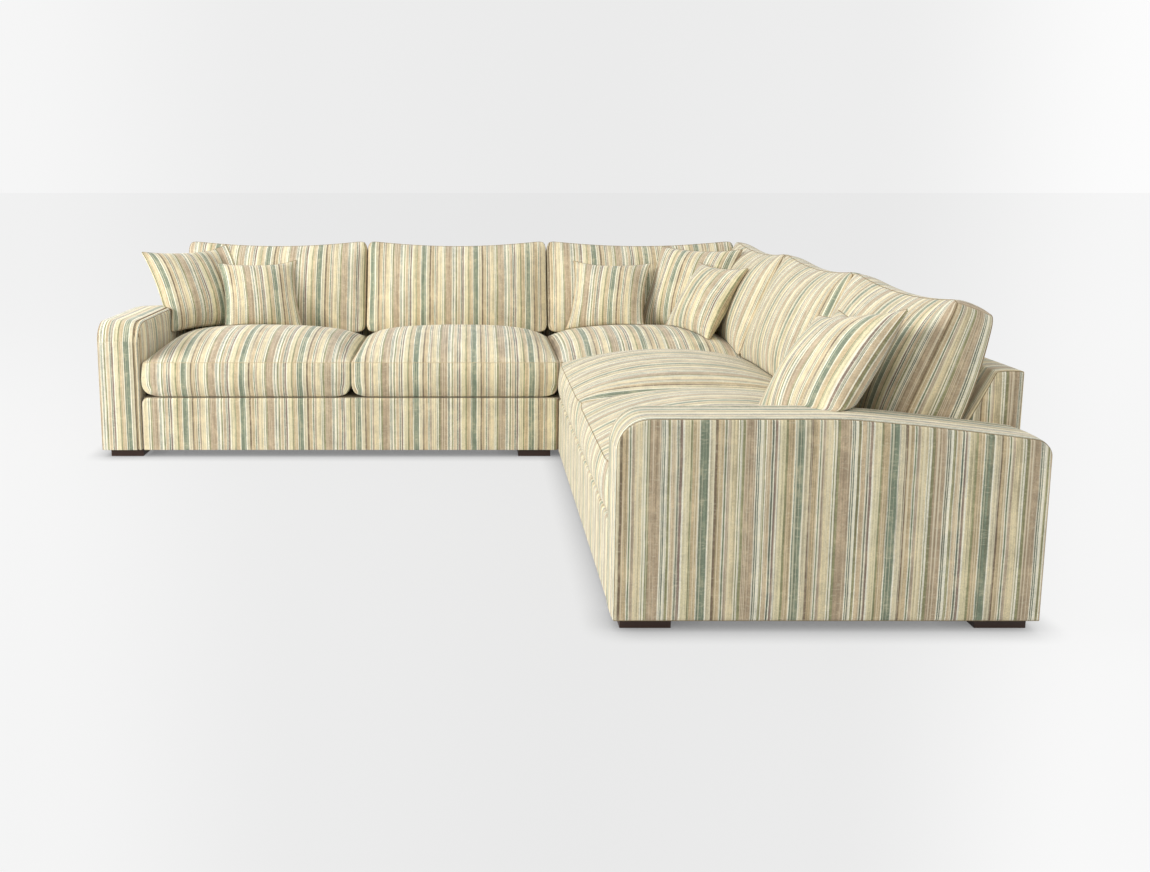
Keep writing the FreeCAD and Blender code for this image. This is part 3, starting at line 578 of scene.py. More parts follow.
def plain_cloth(name, colour, dark):
    """A plain cloth over Object coordinates."""
    tree, inputs = principled(name, 0.92, Sheen_Weight=0.1, Specular_IOR_Level=0.2)
    weave = group_outputs(tree, "woven_cloth", object_place(tree))
    finish(tree, inputs, mix_colour(tree, weave["Fade"], dark, colour), weave["Height"], 0.4, 0.0006)


def wood(name, light, dark, roughness, coat):
    """A finished wood: bands between two colours, with pores cut in."""
    tree, inputs = principled(name, roughness, Coat_Weight=coat, Coat_Roughness=0.35)
    grain = group_outputs(tree, "wood_grain", object_place(tree))
    finish(tree, inputs, mix_colour(tree, grain["Bands"], dark, light), grain["Pores"], 0.25, 0.0004)


def metal(name, colour, roughness):
    """A plated metal with faint cloudy wear."""
    tree, inputs = principled(name, roughness, Metallic=1.0)
    cloud = scaled_noise(tree, object_place(tree), (90, 90, 90), 4, 0.6)
    tree.links.new(mapped(tree, cloud, 0.3, 0.7, roughness - 0.08, roughness + 0.1), inputs["Roughness"])
    dull = tuple(0.7 * value for value in colour)
    finish(tree, inputs, mix_colour(tree, cloud, dull, colour))


def thread(name, dark, light):
    """The thread in a seam and the painted shade in its crease, as one colour between a dark and a light
    value.
    """
    tree, inputs = principled(name, 0.95, Specular_IOR_Level=0.1)
    twist = scaled_noise(tree, object_place(tree), (600, 600, 600), 2, 0.6)
    finish(tree, inputs, mix_colour(tree, twist, dark, light))


def node_span(node):
    """The lowest and highest corner of a node, as plain rows."""
    low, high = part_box(node)
    return np.array(low), np.array(high)


# The arm's top line: its two round corners, how far back it is level, and its fall from there.
ARM_FRONT_ROUND, ARM_REAR_ROUND, ARM_FLAT, ARM_DROP = 0.082, 0.042, 0.560, 0.058
# Where a green stripe begins on each arm, in X and in Y.
ARM_GREENS = {"left": (-1.392, 0.610), "right": (-1.405, 0.610)}


def arm_top(v, height, depth):
    """The arm's top line over its depth: a quarter round up from the front, level, then falling away by a
    power a little over one, and a quarter round down at the rear."""
    fall = ARM_DROP * (np.clip(v - ARM_FLAT, 0, None) / (depth - ARM_FLAT)) ** 1.25
    front = np.clip(ARM_FRONT_ROUND - v, 0, ARM_FRONT_ROUND)
    rear = np.clip(v - (depth - ARM_REAR_ROUND), 0, ARM_REAR_ROUND)
    drop = ARM_FRONT_ROUND - np.sqrt(ARM_FRONT_ROUND ** 2 - front ** 2)
    drop += ARM_REAR_ROUND - np.sqrt(ARM_REAR_ROUND ** 2 - rear ** 2)
    return height - fall - drop


def arm_lines(depth):
    """Lines over the arm's depth: by angle round its two corners, and even between them."""
    turn = np.radians(np.linspace(0, 90, 8))
    front = ARM_FRONT_ROUND * (1 - np.cos(turn))
    rear = depth - ARM_REAR_ROUND * (1 - np.cos(turn[::-1]))
    middle = np.linspace(front[-1], rear[0], 28)[1:-1]
    return np.concatenate([front, middle, rear])


def groove_edges(points, index, axis, depth, inward):
    """Draw the seams round both panels across an axis inwards."""
    last = index.max(0)
    one, two = [k for k in DIMS if k != axis]
    on_end = (index[:, axis] == 0) | (index[:, axis] == last[axis])
    on_rim = ((index[:, one] == 0) | (index[:, one] == last[one])
              | (index[:, two] == 0) | (index[:, two] == last[two]))
    seam = on_end & on_rim
    middle = points.mean(0)
    pull = np.zeros_like(points)
    pull[:, axis] = np.sign(middle[axis] - points[:, axis]) * depth
    for side in (one, two):
        ends = (index[:, side] == 0) | (index[:, side] == last[side])
        pull[:, side] = np.where(ends, np.sign(middle[side] - points[:, side]) * depth * inward, 0)
    return points + pull * seam[:, None]


def arm_mesh(x_low, x_high, low, high, crown_out, crown_in, shrink=0.0):
    """One arm, or the pad on its side: the side's outline of depth and height, carried across. Its sides
    swell by a crown that falls to nothing at the seams, and the band swells a little between them. The
    pad's swell starts above the base, and it draws in beside the base and at its front edge."""
    depth = high[1] - low[1]
    thick = x_high - x_low
    shares = np.array([0, 0.03, 0.08, 0.2, 0.35, 0.5, 0.65, 0.8, 0.92, 0.97, 1]) if thick > 0.1 else \
        np.array([0, 0.2, 0.5, 0.8, 1])
    lines = arm_lines(depth - 2 * shrink) + shrink
    heights = spaced(0, 1, 0.07, (0.008, 0.022))
    points, faces, panels, index = lattice_box(shares, lines, heights)
    a, v, c = points.T
    top = arm_top(v - shrink, high[2] - shrink, depth - 2 * shrink)
    z = low[2] + (top - low[2]) * c
    b = (v - shrink) / (depth - 2 * shrink)
    x = x_low + thick * a
    flat = arch(b, 6, 0.7) * arch(c, 6, 0.7)
    above_base = np.clip((z - 0.24) / 0.05, 0, 1)
    above_seat_side = np.clip((z - 0.36) / 0.08, 0, 1)
    front = np.exp(-((v / 0.05) ** 2))
    draw = 0.012 * (1 - above_base) + 0.010 * above_base * front
    x = x - (index[:, 0] == 0) * crown_out * flat
    x = x + a * (crown_in > 0) * (crown_in * flat * above_seat_side - draw)
    band = 0.0035 * arch(a, 2, 0.6)
    edge_front, edge_rear, edge_top = index[:, 1] == 0, b > 0.999, c == 1
    y = low[1] + v - band * edge_front + band * edge_rear
    z = z + band * edge_top
    cloth = np.column_stack([x_low + thick * a, low[1] + v, z])
    shaped = np.column_stack([x, y, z])
    shaped = groove_edges(shaped, index, 0, shape_settings().groove, 0.6)
    return shaped, faces, cloth, panels, index


def build_arm(side):
    """The arm's cover and its inner pad, each with its seams."""
    low, high = node_span("left_arm_cover")
    inner_low, inner_high = node_span("left_arm_pad")
    for part, ends_x, crowns, shrink, ends in (
            ("arm_cover", (low[0], high[0]), (0.005, 0.0), 0.0, (0, 1)),
            ("arm_pad", (inner_low[0], inner_high[0]), (0.0, 0.010), 0.002, (1,))):
        points, faces, cloth, panels, index = arm_mesh(*ends_x, low, high, *crowns, shrink)
        mesh = points, faces, cloth_map(cloth, faces, panels, ARM_GREENS[side])
        node = "%s_%s" % (side, part)
        piece = mesh_piece(node + "_fabric", *(mesh if side == "left" else swapped(*mesh)))
        dress(piece, node, FRAME_BODY, [rim(index, 0, end) for end in ends])


def panel_mesh(low, high, outer_end, rounds, corner=0.0):
    """A thin padded wall between two corners, with its outer face at the far end of its thickness or at
    the near one. That face falls back by a quarter round towards each edge in rounds, given as an axis
    and an end. The corner radius rounds its upper left corner."""
    size = high - low
    thin = int(np.argmin(size))
    lines = [spaced(0, width, 0.05, (0.003, 0.007, 0.012, 0.018, 0.026)) / width for width in size]
    lines[thin] = np.array([0, 0.5, 1.0])
    points, faces, panels = lattice_box(*lines)[:3]
    shaped = low + points * size
    cloth = shaped.copy()
    share = points[:, thin] if outer_end else 1 - points[:, thin]
    fall = np.zeros(len(points))
    radius = 0.0118
    for axis, end in rounds:
        near = np.clip(radius - np.abs(shaped[:, axis] - (high if end else low)[axis]), 0, radius)
        fall = np.maximum(fall, radius - np.sqrt(radius ** 2 - near ** 2))
    shaped[:, thin] += (-1 if outer_end else 1) * fall * share
    if corner:
        across, down = eased(shaped[:, 0] - low[0], high[2] - shaped[:, 2], corner)
        shaped[:, 0], shaped[:, 2] = low[0] + across, high[2] - down
    return shaped, faces, cloth_map(cloth, faces, panels, (None, SIDE_GREEN))


def build_bases():
    """The base covers: a padded front and rear wall and a joint wall for each side unit, and four walls for
    the corner unit."""
    low, high = node_span("left_base_cover")
    corner_low, corner_high = node_span("corner_base_cover")
    wall = 0.012

    def walls(x0, x1, y0, y1, *sides):
        kinds = {
            "front": (x0, x1, y0, y0 + wall, False, [(0, False), (0, True), (2, True)], 0.026),
            "rear": (x0, x1, y1 - wall, y1, True, [(0, False), (0, True)]),
            "left": (x0, x0 + wall, y0 + wall, y1 - wall, False, []),
            "right": (x1 - wall, x1, y0 + wall, y1 - wall, True, []),
        }
        made = []
        for side in sides:
            left, right, near, far, *shape = kinds[side]
            made.append(panel_mesh(np.array([left, near, low[2]]), np.array([right, far, high[2]]), *shape))
        return merged(made)

    unit = walls(low[0] - 0.010, high[0], low[1], high[1], "front", "rear", "right")
    corner = walls(corner_low[0], corner_high[0], corner_low[1], corner_high[1],
                   "front", "rear", "left", "right")
    for node, mesh in (("left_base_cover", unit), ("right_base_cover", swapped(*unit)),
                       ("corner_base_cover", corner)):
        dress(mesh_piece(node + "_fabric", *mesh), node, FRAME_BODY)


# The padded back: the foot of its front and its rear behind the base's front, its rake from upright in
# degrees, the height where that starts, its own height and the depth of its level top.
BACK_FOOT, BACK_REAR, BACK_RAKE, BACK_START, BACK_TOP, BACK_LEVEL = 0.811, 1.06, 28, 0.25, 0.654, 0.074


def back_mesh(x_low, x_high, low, high, mitred):
    """A raked back: its front leans at a steady rake from the deck to the top, the top is level and the
    rear upright. On a mitred one the far end follows the line X = Y."""
    foot, top_front, rear = low[1], high[1] - BACK_LEVEL, high[1]
    length = x_high - x_low
    across = spaced(0, length, 0.06, (0.004, 0.010, 0.022)) / length
    deep = np.array([0, 0.16, 0.38, 0.62, 0.84, 1])
    tall = spaced(0, 1, 0.09, (0.012, 0.04))
    points, faces, panels, index = lattice_box(across, deep, tall)
    a, b, c = points.T
    z = low[2] + (high[2] - low[2]) * c
    front = foot + (top_front - foot) * c
    y = front + (rear - front) * b
    swell_front = 0.004 * arch(a, 8) * arch(c, 4)
    y = y - swell_front * (index[:, 1] == 0) + 0.003 * arch(a, 8) * arch(c, 4) * (b == 1)
    z = z + 0.004 * arch(b, 2) * (c == 1)
    end = np.where(mitred, y, x_high)
    x = x_low + (end - x_low) * a
    bulge = 0.004 * arch(b, 4) * arch(c, 4)
    x = x - bulge * (index[:, 0] == 0) + bulge * (a == 1) * (not mitred)
    shaped = np.column_stack([x, y, z])
    cloth = np.column_stack([x_low + (end - x_low) * a, y, z])
    shaped = groove_edges(shaped, index, 0, shape_settings().groove, 0.5)
    return shaped, faces, cloth, panels, index


def build_backs():
    """The back covers of the two side units and the two mitred ones of the corner."""
    for name, other, mitred in (("left_back_cover", "right_back_cover", False),
                                ("corner_rear_back_cover", "corner_side_back_cover", True)):
        low, high = node_span(name)
        points, faces, cloth, panels, index = back_mesh(low[0], high[0], low, high, mitred)
        flat = points, faces, cloth_map(cloth, faces, panels, (None, SIDE_GREEN))
        for node, mesh in ((name, flat), (other, swapped(*flat))):
            piece = mesh_piece(node + "_fabric", *mesh)
            dress(piece, node, FRAME_BODY, [rim(index, 0, end) for end in (0, 1)])


CUSHION_STEP = 0.0165


def seat_mesh(x_low, y_low, wide, deep, bottom, front_bulge, side_puff, seed):
    """A seat cushion. The sewn side is straight from the bottom to the seam; over it the top rises by the
    crown times an arch across and an arch from front to rear. The front swells by a half sine over its
    height, the lower corners are rounded, and the seams are drawn in."""
    shape = shape_settings()
    across, back, tall = [spaced(0, width, CUSHION_STEP, (0.007,)) for width in (wide, deep, shape.seat_edge)]
    points, faces, panels, index = lattice_box(across, back, tall)
    x, y, z = points.T
    a, b, c = x / wide, y / deep, z / shape.seat_edge
    on_top = c == 1
    crown = shape.seat_crown * (0.34 * arch(b, 2.2, 0.8) * arch(a, 14, 0.5)
                                + 0.66 * arch(b, 2.2, 0.75) * arch(a, 2.6, 0.75))
    uneven = 0.0035 * ripple(x, y, seed) * arch(a, 3) * arch(b, 3)
    corner = shape.seat_corner * (0.5 + 0.5 * np.exp(-((y / 0.12) ** 2)))
    left, low = eased(x, z, corner)
    right, low = eased(wide - left, low, corner)
    near, low = eased(y, low, 0.5 * shape.seat_corner)
    bow = front_bulge * arch(a, 6) * np.sin(np.pi * np.clip(c * 0.9 + 0.1, 0, 1)) * np.exp(-y / 0.03)
    pinch = 0.010 * np.exp(-((np.minimum(x, wide - x) / 0.05) ** 2)) * np.exp(-((y / 0.05) ** 2)) * c ** 3
    puff = side_puff * np.sin(np.pi * c) * np.exp(-((y / 0.10) ** 2)) * (index[:, 0] == 0)
    new_y = y_low + near - bow * (~on_top | (index[:, 1] == 0)) + pinch
    new_z = bottom + np.where(on_top, z + crown + uneven, low)
    shaped = np.column_stack([x_low + wide - right - puff, new_y, new_z])
    cloth = np.column_stack([x_low + x, y_low + y, z])
    seam = rim(index, 2, 1)
    shaped[seam, 2] -= 0.002
    return shaped, faces, cloth, panels, index, seam


def within(points, low, high, spare):
    """Points kept inside a box that is widened by a spare amount for each axis."""
    return np.clip(points, low - np.array(spare), high + np.array(spare))


def build_seats():
    """The five seat cushions. The right run's are the left run's turned."""
    travel = 0.012
    for node, other, bulge, puff, seed in (
            ("left_outer_seat_cushion", "right_outer_seat_cushion", 0.012, 0.008, 3),
            ("left_inner_seat_cushion", "right_inner_seat_cushion", 0.012, 0.0, 5),
            ("corner_seat_cushion", None, 0.0, 0.0, 8)):
        low, high = node_span(node)
        points, faces, cloth, panels, index, seam = seat_mesh(
            low[0], RUN_FRONT, high[0] - low[0], high[1] - RUN_FRONT, low[2], bulge, puff, seed)
        uv = cloth_map(cloth, faces, panels, (None, SIDE_GREEN))
        piece = mesh_piece(node + "_fabric", points, faces, uv)
        swell(piece, travel, np.concatenate([seam, np.flatnonzero(index[:, 2] == 0)]))
        done = within(points_of(piece), low, high, (puff, travel, travel))
        set_points(piece, done)
        made = [(piece, node)]
        if other:
            made.append((mesh_piece(other + "_fabric", *swapped(done, faces, uv)), other))
        # The seam cords are thread and painted crease shade: fainter on the left run's seats, darker on the
        # right run's.
        for cushion, body in made:
            dress(cushion, body, body, [seam],
                  "pale_thread" if body.startswith("left") else "seam_thread")


def back_cushion_mesh(x_low, wide, seed):
    """A back cushion between a leaning front line and rear line. The front swells by the crown times an
    arch each way, the rear a little, the top edge dips in the middle and all corners are rounded."""
    shape = shape_settings()
    tall_side, radius = 0.45, 0.036
    across = spaced(0, wide, CUSHION_STEP, (0.008,))
    thick = np.linspace(0, 1, 9)
    tall = spaced(0, tall_side, CUSHION_STEP, (0.008,)) / tall_side
    points, faces, panels, index = lattice_box(across, thick, tall)
    x, b, c = points.T
    a = x / wide
    left, low = eased(x, c * tall_side, radius)
    right, low = eased(wide - left, low, radius)
    right, top = eased(right, tall_side - low, radius)
    left, top = eased(wide - right, top, radius)
    u, w = left - wide / 2, tall_side / 2 - top
    share = w / tall_side + 0.5
    dip = shape.back_dip * arch(a, 2)
    low_front, top_front = np.array([0.741, 0.424]), np.array([0.915, 0.846])
    low_rear, top_rear = np.array([0.901, 0.424]), np.array([1.011, 0.808])
    front = low_front + (top_front - low_front) * share[:, None]
    rear = low_rear + (top_rear - low_rear) * share[:, None]
    line = front + (rear - front) * b[:, None]
    lean = (top_front - low_front) / np.linalg.norm(top_front - low_front)
    out = np.array([-lean[1], lean[0]])
    full = arch(a, 2.8, 0.7) * arch(share, 2.3, 0.7)
    edge = 0.010 * arch(a, 20, 0.5) * arch(share, 8, 0.6)
    uneven = 0.004 * ripple(x, w, seed) * arch(a, 3) * arch(share, 3)
    push = (shape.back_crown * full + edge + uneven) * (1 - b) ** 2 - 0.016 * arch(share, 2) * b ** 2
    rise = 0.012 * arch(b, 2, 0.7) * np.clip((share - 0.6) / 0.4, 0, 1) ** 2 * arch(a, 8, 0.5)
    y = RUN_FRONT + line[:, 0] + out[0] * push
    z = line[:, 1] + out[1] * push + rise - dip * np.clip(share, 0, 1) ** 3
    shaped = np.column_stack([x_low + wide / 2 + u, y, z])
    side = 0.006 * arch(b, 2) * arch(share, 2)
    shaped[:, 0] += np.where(index[:, 0] == 0, -side, 0) + np.where(a == 1, side, 0)
    cloth = np.column_stack([x_low + wide / 2 + (x - wide / 2) * 0.97, b * 0.13 + 0.04, c * tall_side])
    return shaped, faces, cloth, panels, index


def rear_wall(points):
    """Points pressed to the front of the padded back: no deeper than its rake below its top."""
    rise = np.clip(points[:, 2], BACK_START, BACK_TOP) - BACK_START
    limit = RUN_FRONT + BACK_FOOT + rise * np.tan(np.radians(BACK_RAKE)) - 0.002
    limit = np.where(points[:, 2] > BACK_TOP, RUN_FRONT + BACK_REAR, limit)
    pressed = points.copy()
    pressed[:, 1] = np.minimum(points[:, 1], limit)
    return pressed


def seat_under(node):
    """The seat cushion under a back cushion or a scatter cushion."""
    unit, place = node.split("_")[:2]
    if unit == "corner":
        return "corner_seat_cushion"
    return "%s_%s_seat_cushion" % (unit, "inner" if place == "inner" else "outer")


def build_back_cushions():
    """The six back cushions, pressed to the backs, the seats and, in the corner, to each other."""
    for node, other, seed, green in (
            ("left_outer_back_cushion", "right_outer_back_cushion", 11, -0.700),
            ("left_inner_back_cushion", "right_inner_back_cushion", 13, 0.047),
            ("corner_rear_back_cushion", "corner_side_back_cushion", 17, 0.621)):
        low, high = node_span(node)
        points, faces, cloth, panels, index = back_cushion_mesh(low[0], high[0] - low[0], seed)
        uv = cloth_map(cloth, faces, panels, (green, 0.0))
        piece = mesh_piece(node + "_fabric", points, faces, uv)
        loops = [rim(index, 1, 0), rim(index, 1, 1)]
        swell(piece, 0.014, np.concatenate(loops))
        done = within(rear_wall(points_of(piece)), low, high, (0.0, 0.03, 0.02))
        set_points(piece, done)
        turned = mesh_piece(other + "_fabric", *swapped(done, faces, uv))
        for cushion, body in ((piece, node), (turned, other)):
            keep_off(cushion, [seat_under(body)], (0, 0, -1))
            if body == "corner_side_back_cushion":
                shorten(cushion, "corner_rear_back_cushion", 1)
            dress(cushion, body, body, loops)


def scatter_mesh(side, thick, seed):
    """A scatter cushion lying in its own plane: two sheets sewn at the rim. Its half thickness is an arch
    each way to a power under one, its edges curve in between its corners."""
    across = spaced(0, 1, 0.0125 / side)
    points, faces, panels, index = lattice_box(across, np.array([-1.0, 0.0, 1.0]), across)
    a, b, c = points.T
    lift = arch(a, 2.2, 0.62) * arch(c, 2.2, 0.62)
    dip_x = 0.020 * arch(c, 2) * (2 * a - 1)
    dip_z = 0.020 * arch(a, 2) * (2 * c - 1)
    x = (a - 0.5) * side - dip_x * np.abs(2 * a - 1)
    z = (c - 0.5) * side - dip_z * np.abs(2 * c - 1)
    ease = 1 + 0.10 * ripple(x, z, seed, 4, 0.3)
    y = b * (0.0025 + 0.5 * thick * lift * ease)
    cloth = np.column_stack([(a - 0.5) * side, b * 0.01, (c - 0.5) * side])
    return np.column_stack([x, y, z]), faces, cloth, panels, index


def turned_by(points, yaw, lean, roll):
    """Points rolled in their own plane, leant back about X, then turned about Z."""
    yaw, lean, roll = np.radians(yaw), np.radians(-lean), np.radians(roll)
    flat = np.array([[np.cos(roll), 0, np.sin(roll)], [0, 1, 0], [-np.sin(roll), 0, np.cos(roll)]])
    tip = np.array([[1, 0, 0], [0, np.cos(lean), -np.sin(lean)], [0, np.sin(lean), np.cos(lean)]])
    spin = np.array([[np.cos(yaw), -np.sin(yaw), 0], [np.sin(yaw), np.cos(yaw), 0], [0, 0, 1]])
    return points @ flat.T @ tip.T @ spin.T


LARGE, SMALL = (0.43, 0.150), (0.37, 0.125)
SCATTERS = [
    # name, side and thickness, centre, yaw, lean, roll, other run, where green begins, what it leans on
    ("left_large_scatter", LARGE, (-1.240, 1.100, 0.633), 41, 34, 0, False, -0.19,
     ["left_outer_back_cushion", "left_arm_pad", "left_arm_cover"]),
    ("left_small_scatter", SMALL, (-0.942, 1.092, 0.600), 17, 34, 0, False, 0.055,
     ["left_outer_back_cushion", "left_large_scatter"]),
    ("right_small_scatter", SMALL, (-0.960, 1.098, 0.602), -8, 34, 0, True, 0.05,
     ["right_outer_back_cushion"]),
    ("right_large_scatter", LARGE, (-1.195, 1.000, 0.622), -9, 37, 11, True, 0.10,
     ["right_outer_back_cushion", "right_small_scatter"]),
    ("corner_large_scatter", LARGE, (1.050, 1.064, 0.636), -38, 28, 0, False, -0.07,
     ["corner_rear_back_cushion", "corner_side_back_cushion"]),
    ("corner_left_small_scatter", SMALL, (0.680, 1.100, 0.600), -14, 36, 0, False, 0.01,
     ["corner_rear_back_cushion", "corner_large_scatter"]),
    ("corner_right_small_scatter", SMALL, (1.068, 0.800, 0.610), -67, 32, 0, False, -0.04,
     ["corner_side_back_cushion", "corner_large_scatter"]),
]


def press_on_arm(piece, other_run):
    """Press a cushion against the arm: what would be in the pad moves out along the run, up to the arm's
    top, over which it may lie."""
    side, _, top = node_span("left_arm_pad")[1] + (0.012, 0, 0.004)
    points = points_of(piece)
    along = 1 if other_run else 0
    depth = np.clip(side - points[:, along], 0, None)
    rise = np.clip(top - points[:, 2], 0, None)
    inside = (depth > 0) & (rise > 0)
    outwards = inside & (depth < 4 * rise)
    points[outwards, along] = side
    points[inside & ~outwards, 2] = top
    set_points(piece, points)


def build_scatters():
    """The seven scatter cushions, each filled, then set against what it leans on and rests on."""
    for seed, row in enumerate(SCATTERS, 31):
        node, size, centre, yaw, lean, roll, other_run, green, leans_on = row
        points, faces, cloth, panels, index = scatter_mesh(*size, seed)
        mesh = (turned_by(points, yaw, lean, roll) + np.array(centre), faces,
                cloth_map(cloth, faces, panels, (green, 0.0), FLAT_GRAIN))
        way = turned_by(np.array([[0.0, 1.0, 0.0]]), yaw, lean, roll)[0]
        if other_run:
            mesh = swapped(*mesh)
            way = way[[1, 0, 2]]
        piece = mesh_piece(node + "_fabric", *mesh)
        last = index.max(0)
        corners = np.flatnonzero(np.isin(index[:, 0], (0, last[0])) & np.isin(index[:, 2], (0, last[2])))
        swell(piece, 0.022, corners)
        keep_off(piece, leans_on, way)
        keep_off(piece, [seat_under(node)], (0, 0, -1), reach=0.25)
        if not node.startswith("corner"):
            press_on_arm(piece, other_run)
        dress(piece, node, node, [rim(index, 1, 0)])


class SOFA_OT_materials(bpy.types.Operator):
    """Make the fabrics, woods and metals"""
    bl_idname = "sofa.materials"
    bl_label = "Materials"

    def execute(self, context):
        cloth_group()
        wood_group()
        striped_fabric()
        # Seam cord colours: thread darkened into painted crease shade, fainter in the pale one.
        thread("seam_thread", linear(132, 116, 90), linear(166, 148, 116))
        thread("pale_thread", linear(186, 168, 134), linear(212, 196, 160))
        plain_cloth("platform_cloth", linear(206, 194, 168), linear(168, 154, 128))
        plain_cloth("black_cloth", linear(38, 38, 38), linear(20, 20, 20))
        wood("dark_wood", linear(68, 38, 20), linear(36, 18, 8), 0.5, 0.04)
        wood("pine", linear(214, 176, 124), linear(168, 124, 76), 0.65, 0.0)
        metal("zinc_steel", linear(190, 192, 196), 0.34)
        metal("spring_steel", linear(120, 120, 124), 0.42)
        return {"FINISHED"}


class SOFA_OT_frame_finishes(bpy.types.Operator):
    """Finish the feet, frames, springs, bolts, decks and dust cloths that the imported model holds"""
    bl_idname = "sofa.frame_finishes"
    bl_label = "Frame finishes"

    def execute(self, context):
        slots = {part["node"]: part["material_slot"] for part in frame["record"]["subparts"]}
        for node, piece in frame["nodes"].items():
            if slots[node] != FABRIC:
                piece.data.materials.clear()
                piece.data.materials.append(finish_of(slots[node]))
        return {"FINISHED"}


class SOFA_OT_arms(bpy.types.Operator):
    """Upholster both arms"""
    bl_idname = "sofa.arms"
    bl_label = "Arms"

    def execute(self, context):
        build_arm("left")
        build_arm("right")
        return {"FINISHED"}


class SOFA_OT_bases(bpy.types.Operator):
    """Upholster the three bases"""
    bl_idname = "sofa.bases"
    bl_label = "Bases"

    def execute(self, context):
        build_bases()
        return {"FINISHED"}


class SOFA_OT_backs(bpy.types.Operator):
    """Upholster the four backs"""
    bl_idname = "sofa.backs"
    bl_label = "Backs"

    def execute(self, context):
        build_backs()
        return {"FINISHED"}


class SOFA_OT_seats(bpy.types.Operator):
    """Make the five seat cushions"""
    bl_idname = "sofa.seats"
    bl_label = "Seat cushions"

    def execute(self, context):
        build_seats()
        return {"FINISHED"}


class SOFA_OT_back_cushions(bpy.types.Operator):
    """Make the six back cushions"""
    bl_idname = "sofa.back_cushions"
    bl_label = "Back cushions"

    def execute(self, context):
        build_back_cushions()
        return {"FINISHED"}


class SOFA_OT_scatters(bpy.types.Operator):
    """Make the seven scatter cushions"""
    bl_idname = "sofa.scatters"
    bl_label = "Scatter cushions"

    def execute(self, context):
        build_scatters()
        return {"FINISHED"}


def lamp(name, place, aim, size, power):
    """A square lamp at a place, turned to a point."""
    data = bpy.data.lights.new(name, "AREA")
    data.shape, data.size, data.energy = "SQUARE", size, power
    made = bpy.data.objects.new(name, data)
    made.location = place
    made.rotation_euler = (Vector(aim) - Vector(place)).to_track_quat("-Z", "Y").to_euler()
    bpy.context.scene.collection.objects.link(made)


def backdrop(tree, along, away):
    """The colour behind the sofa for a direction, by its X over its Y: palest at both sides."""
    span = mapped(tree, math_node(tree, "DIVIDE", along, away), -0.39, 0.57)
    levels = (0.0, 246), (0.26, 237), (0.5, 235), (0.74, 237), (1.0, 252)
    return colour_ramp(tree, span, "EASE", [(start, linear(level, level, level)) for start, level in levels])


def seen_rays(tree):
    """One for a ray that the camera sees, straight, mirrored or through glass."""
    path = add_node(tree, "ShaderNodeLightPath").outputs
    return math_node(tree, "MAXIMUM", path["Is Camera Ray"],
                     math_node(tree, "MAXIMUM", path["Is Glossy Ray"], path["Is Transmission Ray"]))


def emptied(owner):
    """The node tree of a material or a world, with nothing in it."""
    owner.use_nodes = True
    owner.node_tree.nodes.clear()
    return owner.node_tree


def mix_shaders(tree, share, one, two):
    """Two shaders mixed."""
    return add_node(tree, "ShaderNodeMixShader", {0: share, 1: one, 2: two}).outputs[0]


CAMERA_PLACE = (0.0259, -4.4084, 1.1787)


def floor_material():
    """A pale floor that keeps the sofa's shadow: to the camera it has the backdrop's colour, with a painted
    shadow where the sofa hides it from the room (ambient occlusion darkens that colour), and it is darkened a
    little by the lamps' real shadows."""
    material = bpy.data.materials.new("studio_floor")
    tree = emptied(material)
    lit = add_node(tree, "ShaderNodeBsdfDiffuse", {0: (0.62, 0.62, 0.62)}).outputs[0]
    place = add_node(tree, "ShaderNodeSeparateXYZ", {0: object_place(tree)}).outputs
    colour = backdrop(tree, *[math_node(tree, "SUBTRACT", place[k], CAMERA_PLACE[k]) for k in (0, 1)])
    # Painted shadow: ambient occlusion darkens the floor's glowing colour near the sofa.
    hidden = add_node(tree, "ShaderNodeAmbientOcclusion", {"Distance": 0.09}, samples=8).outputs["AO"]
    shade = mapped(tree, math_node(tree, "POWER", hidden, 0.7), 0.0, 1.0, 0.17, 1.0)
    colour = mix_colour(tree, 1.0, colour, grey(tree, shade), "MULTIPLY")
    glow = add_node(tree, "ShaderNodeEmission", {0: colour}).outputs[0]
    shown = mix_shaders(tree, 0.90, lit, glow)
    add_node(tree, "ShaderNodeOutputMaterial", {0: mix_shaders(tree, seen_rays(tree), lit, shown)})
    arrange(tree)
    return material


def studio_world(ambient):
    """Even light from all round, with the backdrop's colour to every ray that is seen."""
    world = bpy.data.worlds.new("studio")
    tree = emptied(world)
    way = add_node(tree, "ShaderNodeSeparateXYZ",
                   {0: add_node(tree, "ShaderNodeTexCoord").outputs["Generated"]}).outputs
    light = add_node(tree, "ShaderNodeBackground", {0: (1, 1, 1), 1: ambient}).outputs[0]
    shown = add_node(tree, "ShaderNodeBackground", {0: backdrop(tree, way[0], way[1]), 1: 1.0}).outputs[0]
    add_node(tree, "ShaderNodeOutputWorld", {0: mix_shaders(tree, seen_rays(tree), light, shown)})
    arrange(tree)
    return world


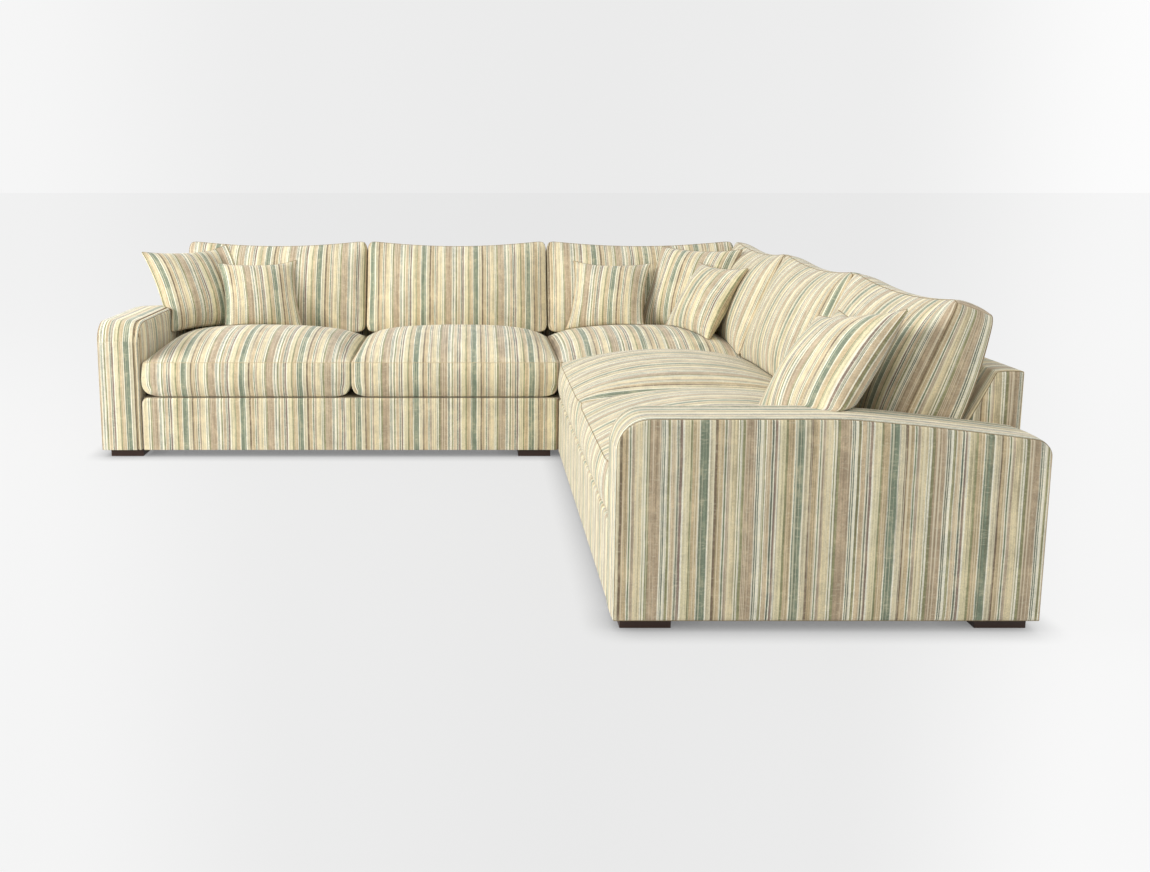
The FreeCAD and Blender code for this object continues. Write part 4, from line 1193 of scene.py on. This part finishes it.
class SOFA_OT_stage(bpy.types.Operator):
    """Set the floor, the light, the background and the camera"""
    bl_idname = "sofa.stage"
    bl_label = "Stage"

    def execute(self, context):
        settings = context.scene.sofa_stage
        mesh = bpy.data.meshes.new("floor")
        reach = 60.0
        corners = [(-reach, -reach, 0), (reach, -reach, 0), (reach, reach, 0), (-reach, reach, 0)]
        mesh.from_pydata(corners, [], [(0, 1, 2, 3)])
        floor = bpy.data.objects.new("floor", mesh)
        context.scene.collection.objects.link(floor)
        mesh.materials.append(floor_material())
        context.scene.world = studio_world(settings.ambient)
        lamp("key", (-5.6, -1.35, 2.8), (0.3, 0.0, 0.3), 2.4, settings.key)
        lamp("fill", (0.5, -5.5, 3.5), (0.0, 0.0, 0.3), 4.0, 22.0)
        data = bpy.data.cameras.new("camera")
        data.lens, data.sensor_width = 37.05, 36.0
        data.shift_x, data.shift_y = 0.0926, -0.0637
        data.clip_end = 300
        camera = bpy.data.objects.new("camera", data)
        camera.location = CAMERA_PLACE
        camera.rotation_euler = (np.radians(80.787), 0, 0)
        context.scene.collection.objects.link(camera)
        context.scene.camera = camera
        context.scene.view_settings.view_transform = "Standard"
        return {"FINISHED"}


STEPS = [SOFA_OT_materials, SOFA_OT_frame_finishes, SOFA_OT_arms, SOFA_OT_bases, SOFA_OT_backs,
         SOFA_OT_seats, SOFA_OT_back_cushions, SOFA_OT_scatters, SOFA_OT_stage]


class SOFA_PT_panel(bpy.types.Panel):
    """The sofa's settings and the steps that build it"""
    bl_idname = "SOFA_PT_panel"
    bl_label = "Corner sofa"
    bl_space_type = "VIEW_3D"
    bl_region_type = "UI"
    bl_category = "Sofa"

    def draw(self, context):
        for group in (context.scene.sofa_fabric, context.scene.sofa_shape, context.scene.sofa_stage):
            box = self.layout.box()
            for name in group.bl_rna.properties.keys():
                if name not in ("rna_type", "name"):
                    box.prop(group, name)
        for step in STEPS:
            self.layout.operator(step.bl_idname)


SETTINGS = [(SofaFabric, "sofa_fabric"), (SofaShape, "sofa_shape"), (SofaStage, "sofa_stage")]


def register():
    """Add the settings, operators and panel."""
    for group, name in SETTINGS:
        bpy.utils.register_class(group)
        setattr(bpy.types.Scene, name, PointerProperty(type=group))
    for item in STEPS + [SOFA_PT_panel]:
        bpy.utils.register_class(item)


def unregister():
    """Take them away again."""
    for item in [SOFA_PT_panel] + STEPS[::-1]:
        bpy.utils.unregister_class(item)
    for group, name in SETTINGS[::-1]:
        delattr(bpy.types.Scene, name)
        bpy.utils.unregister_class(group)


def main():
    """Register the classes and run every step."""
    register()
    bpy.ops.sofa.materials()
    bpy.ops.sofa.frame_finishes()
    bpy.ops.sofa.arms()
    bpy.ops.sofa.bases()
    bpy.ops.sofa.backs()
    bpy.ops.sofa.seats()
    bpy.ops.sofa.back_cushions()
    bpy.ops.sofa.scatters()
    bpy.ops.sofa.stage()


if __name__ == "__main__":
    main()
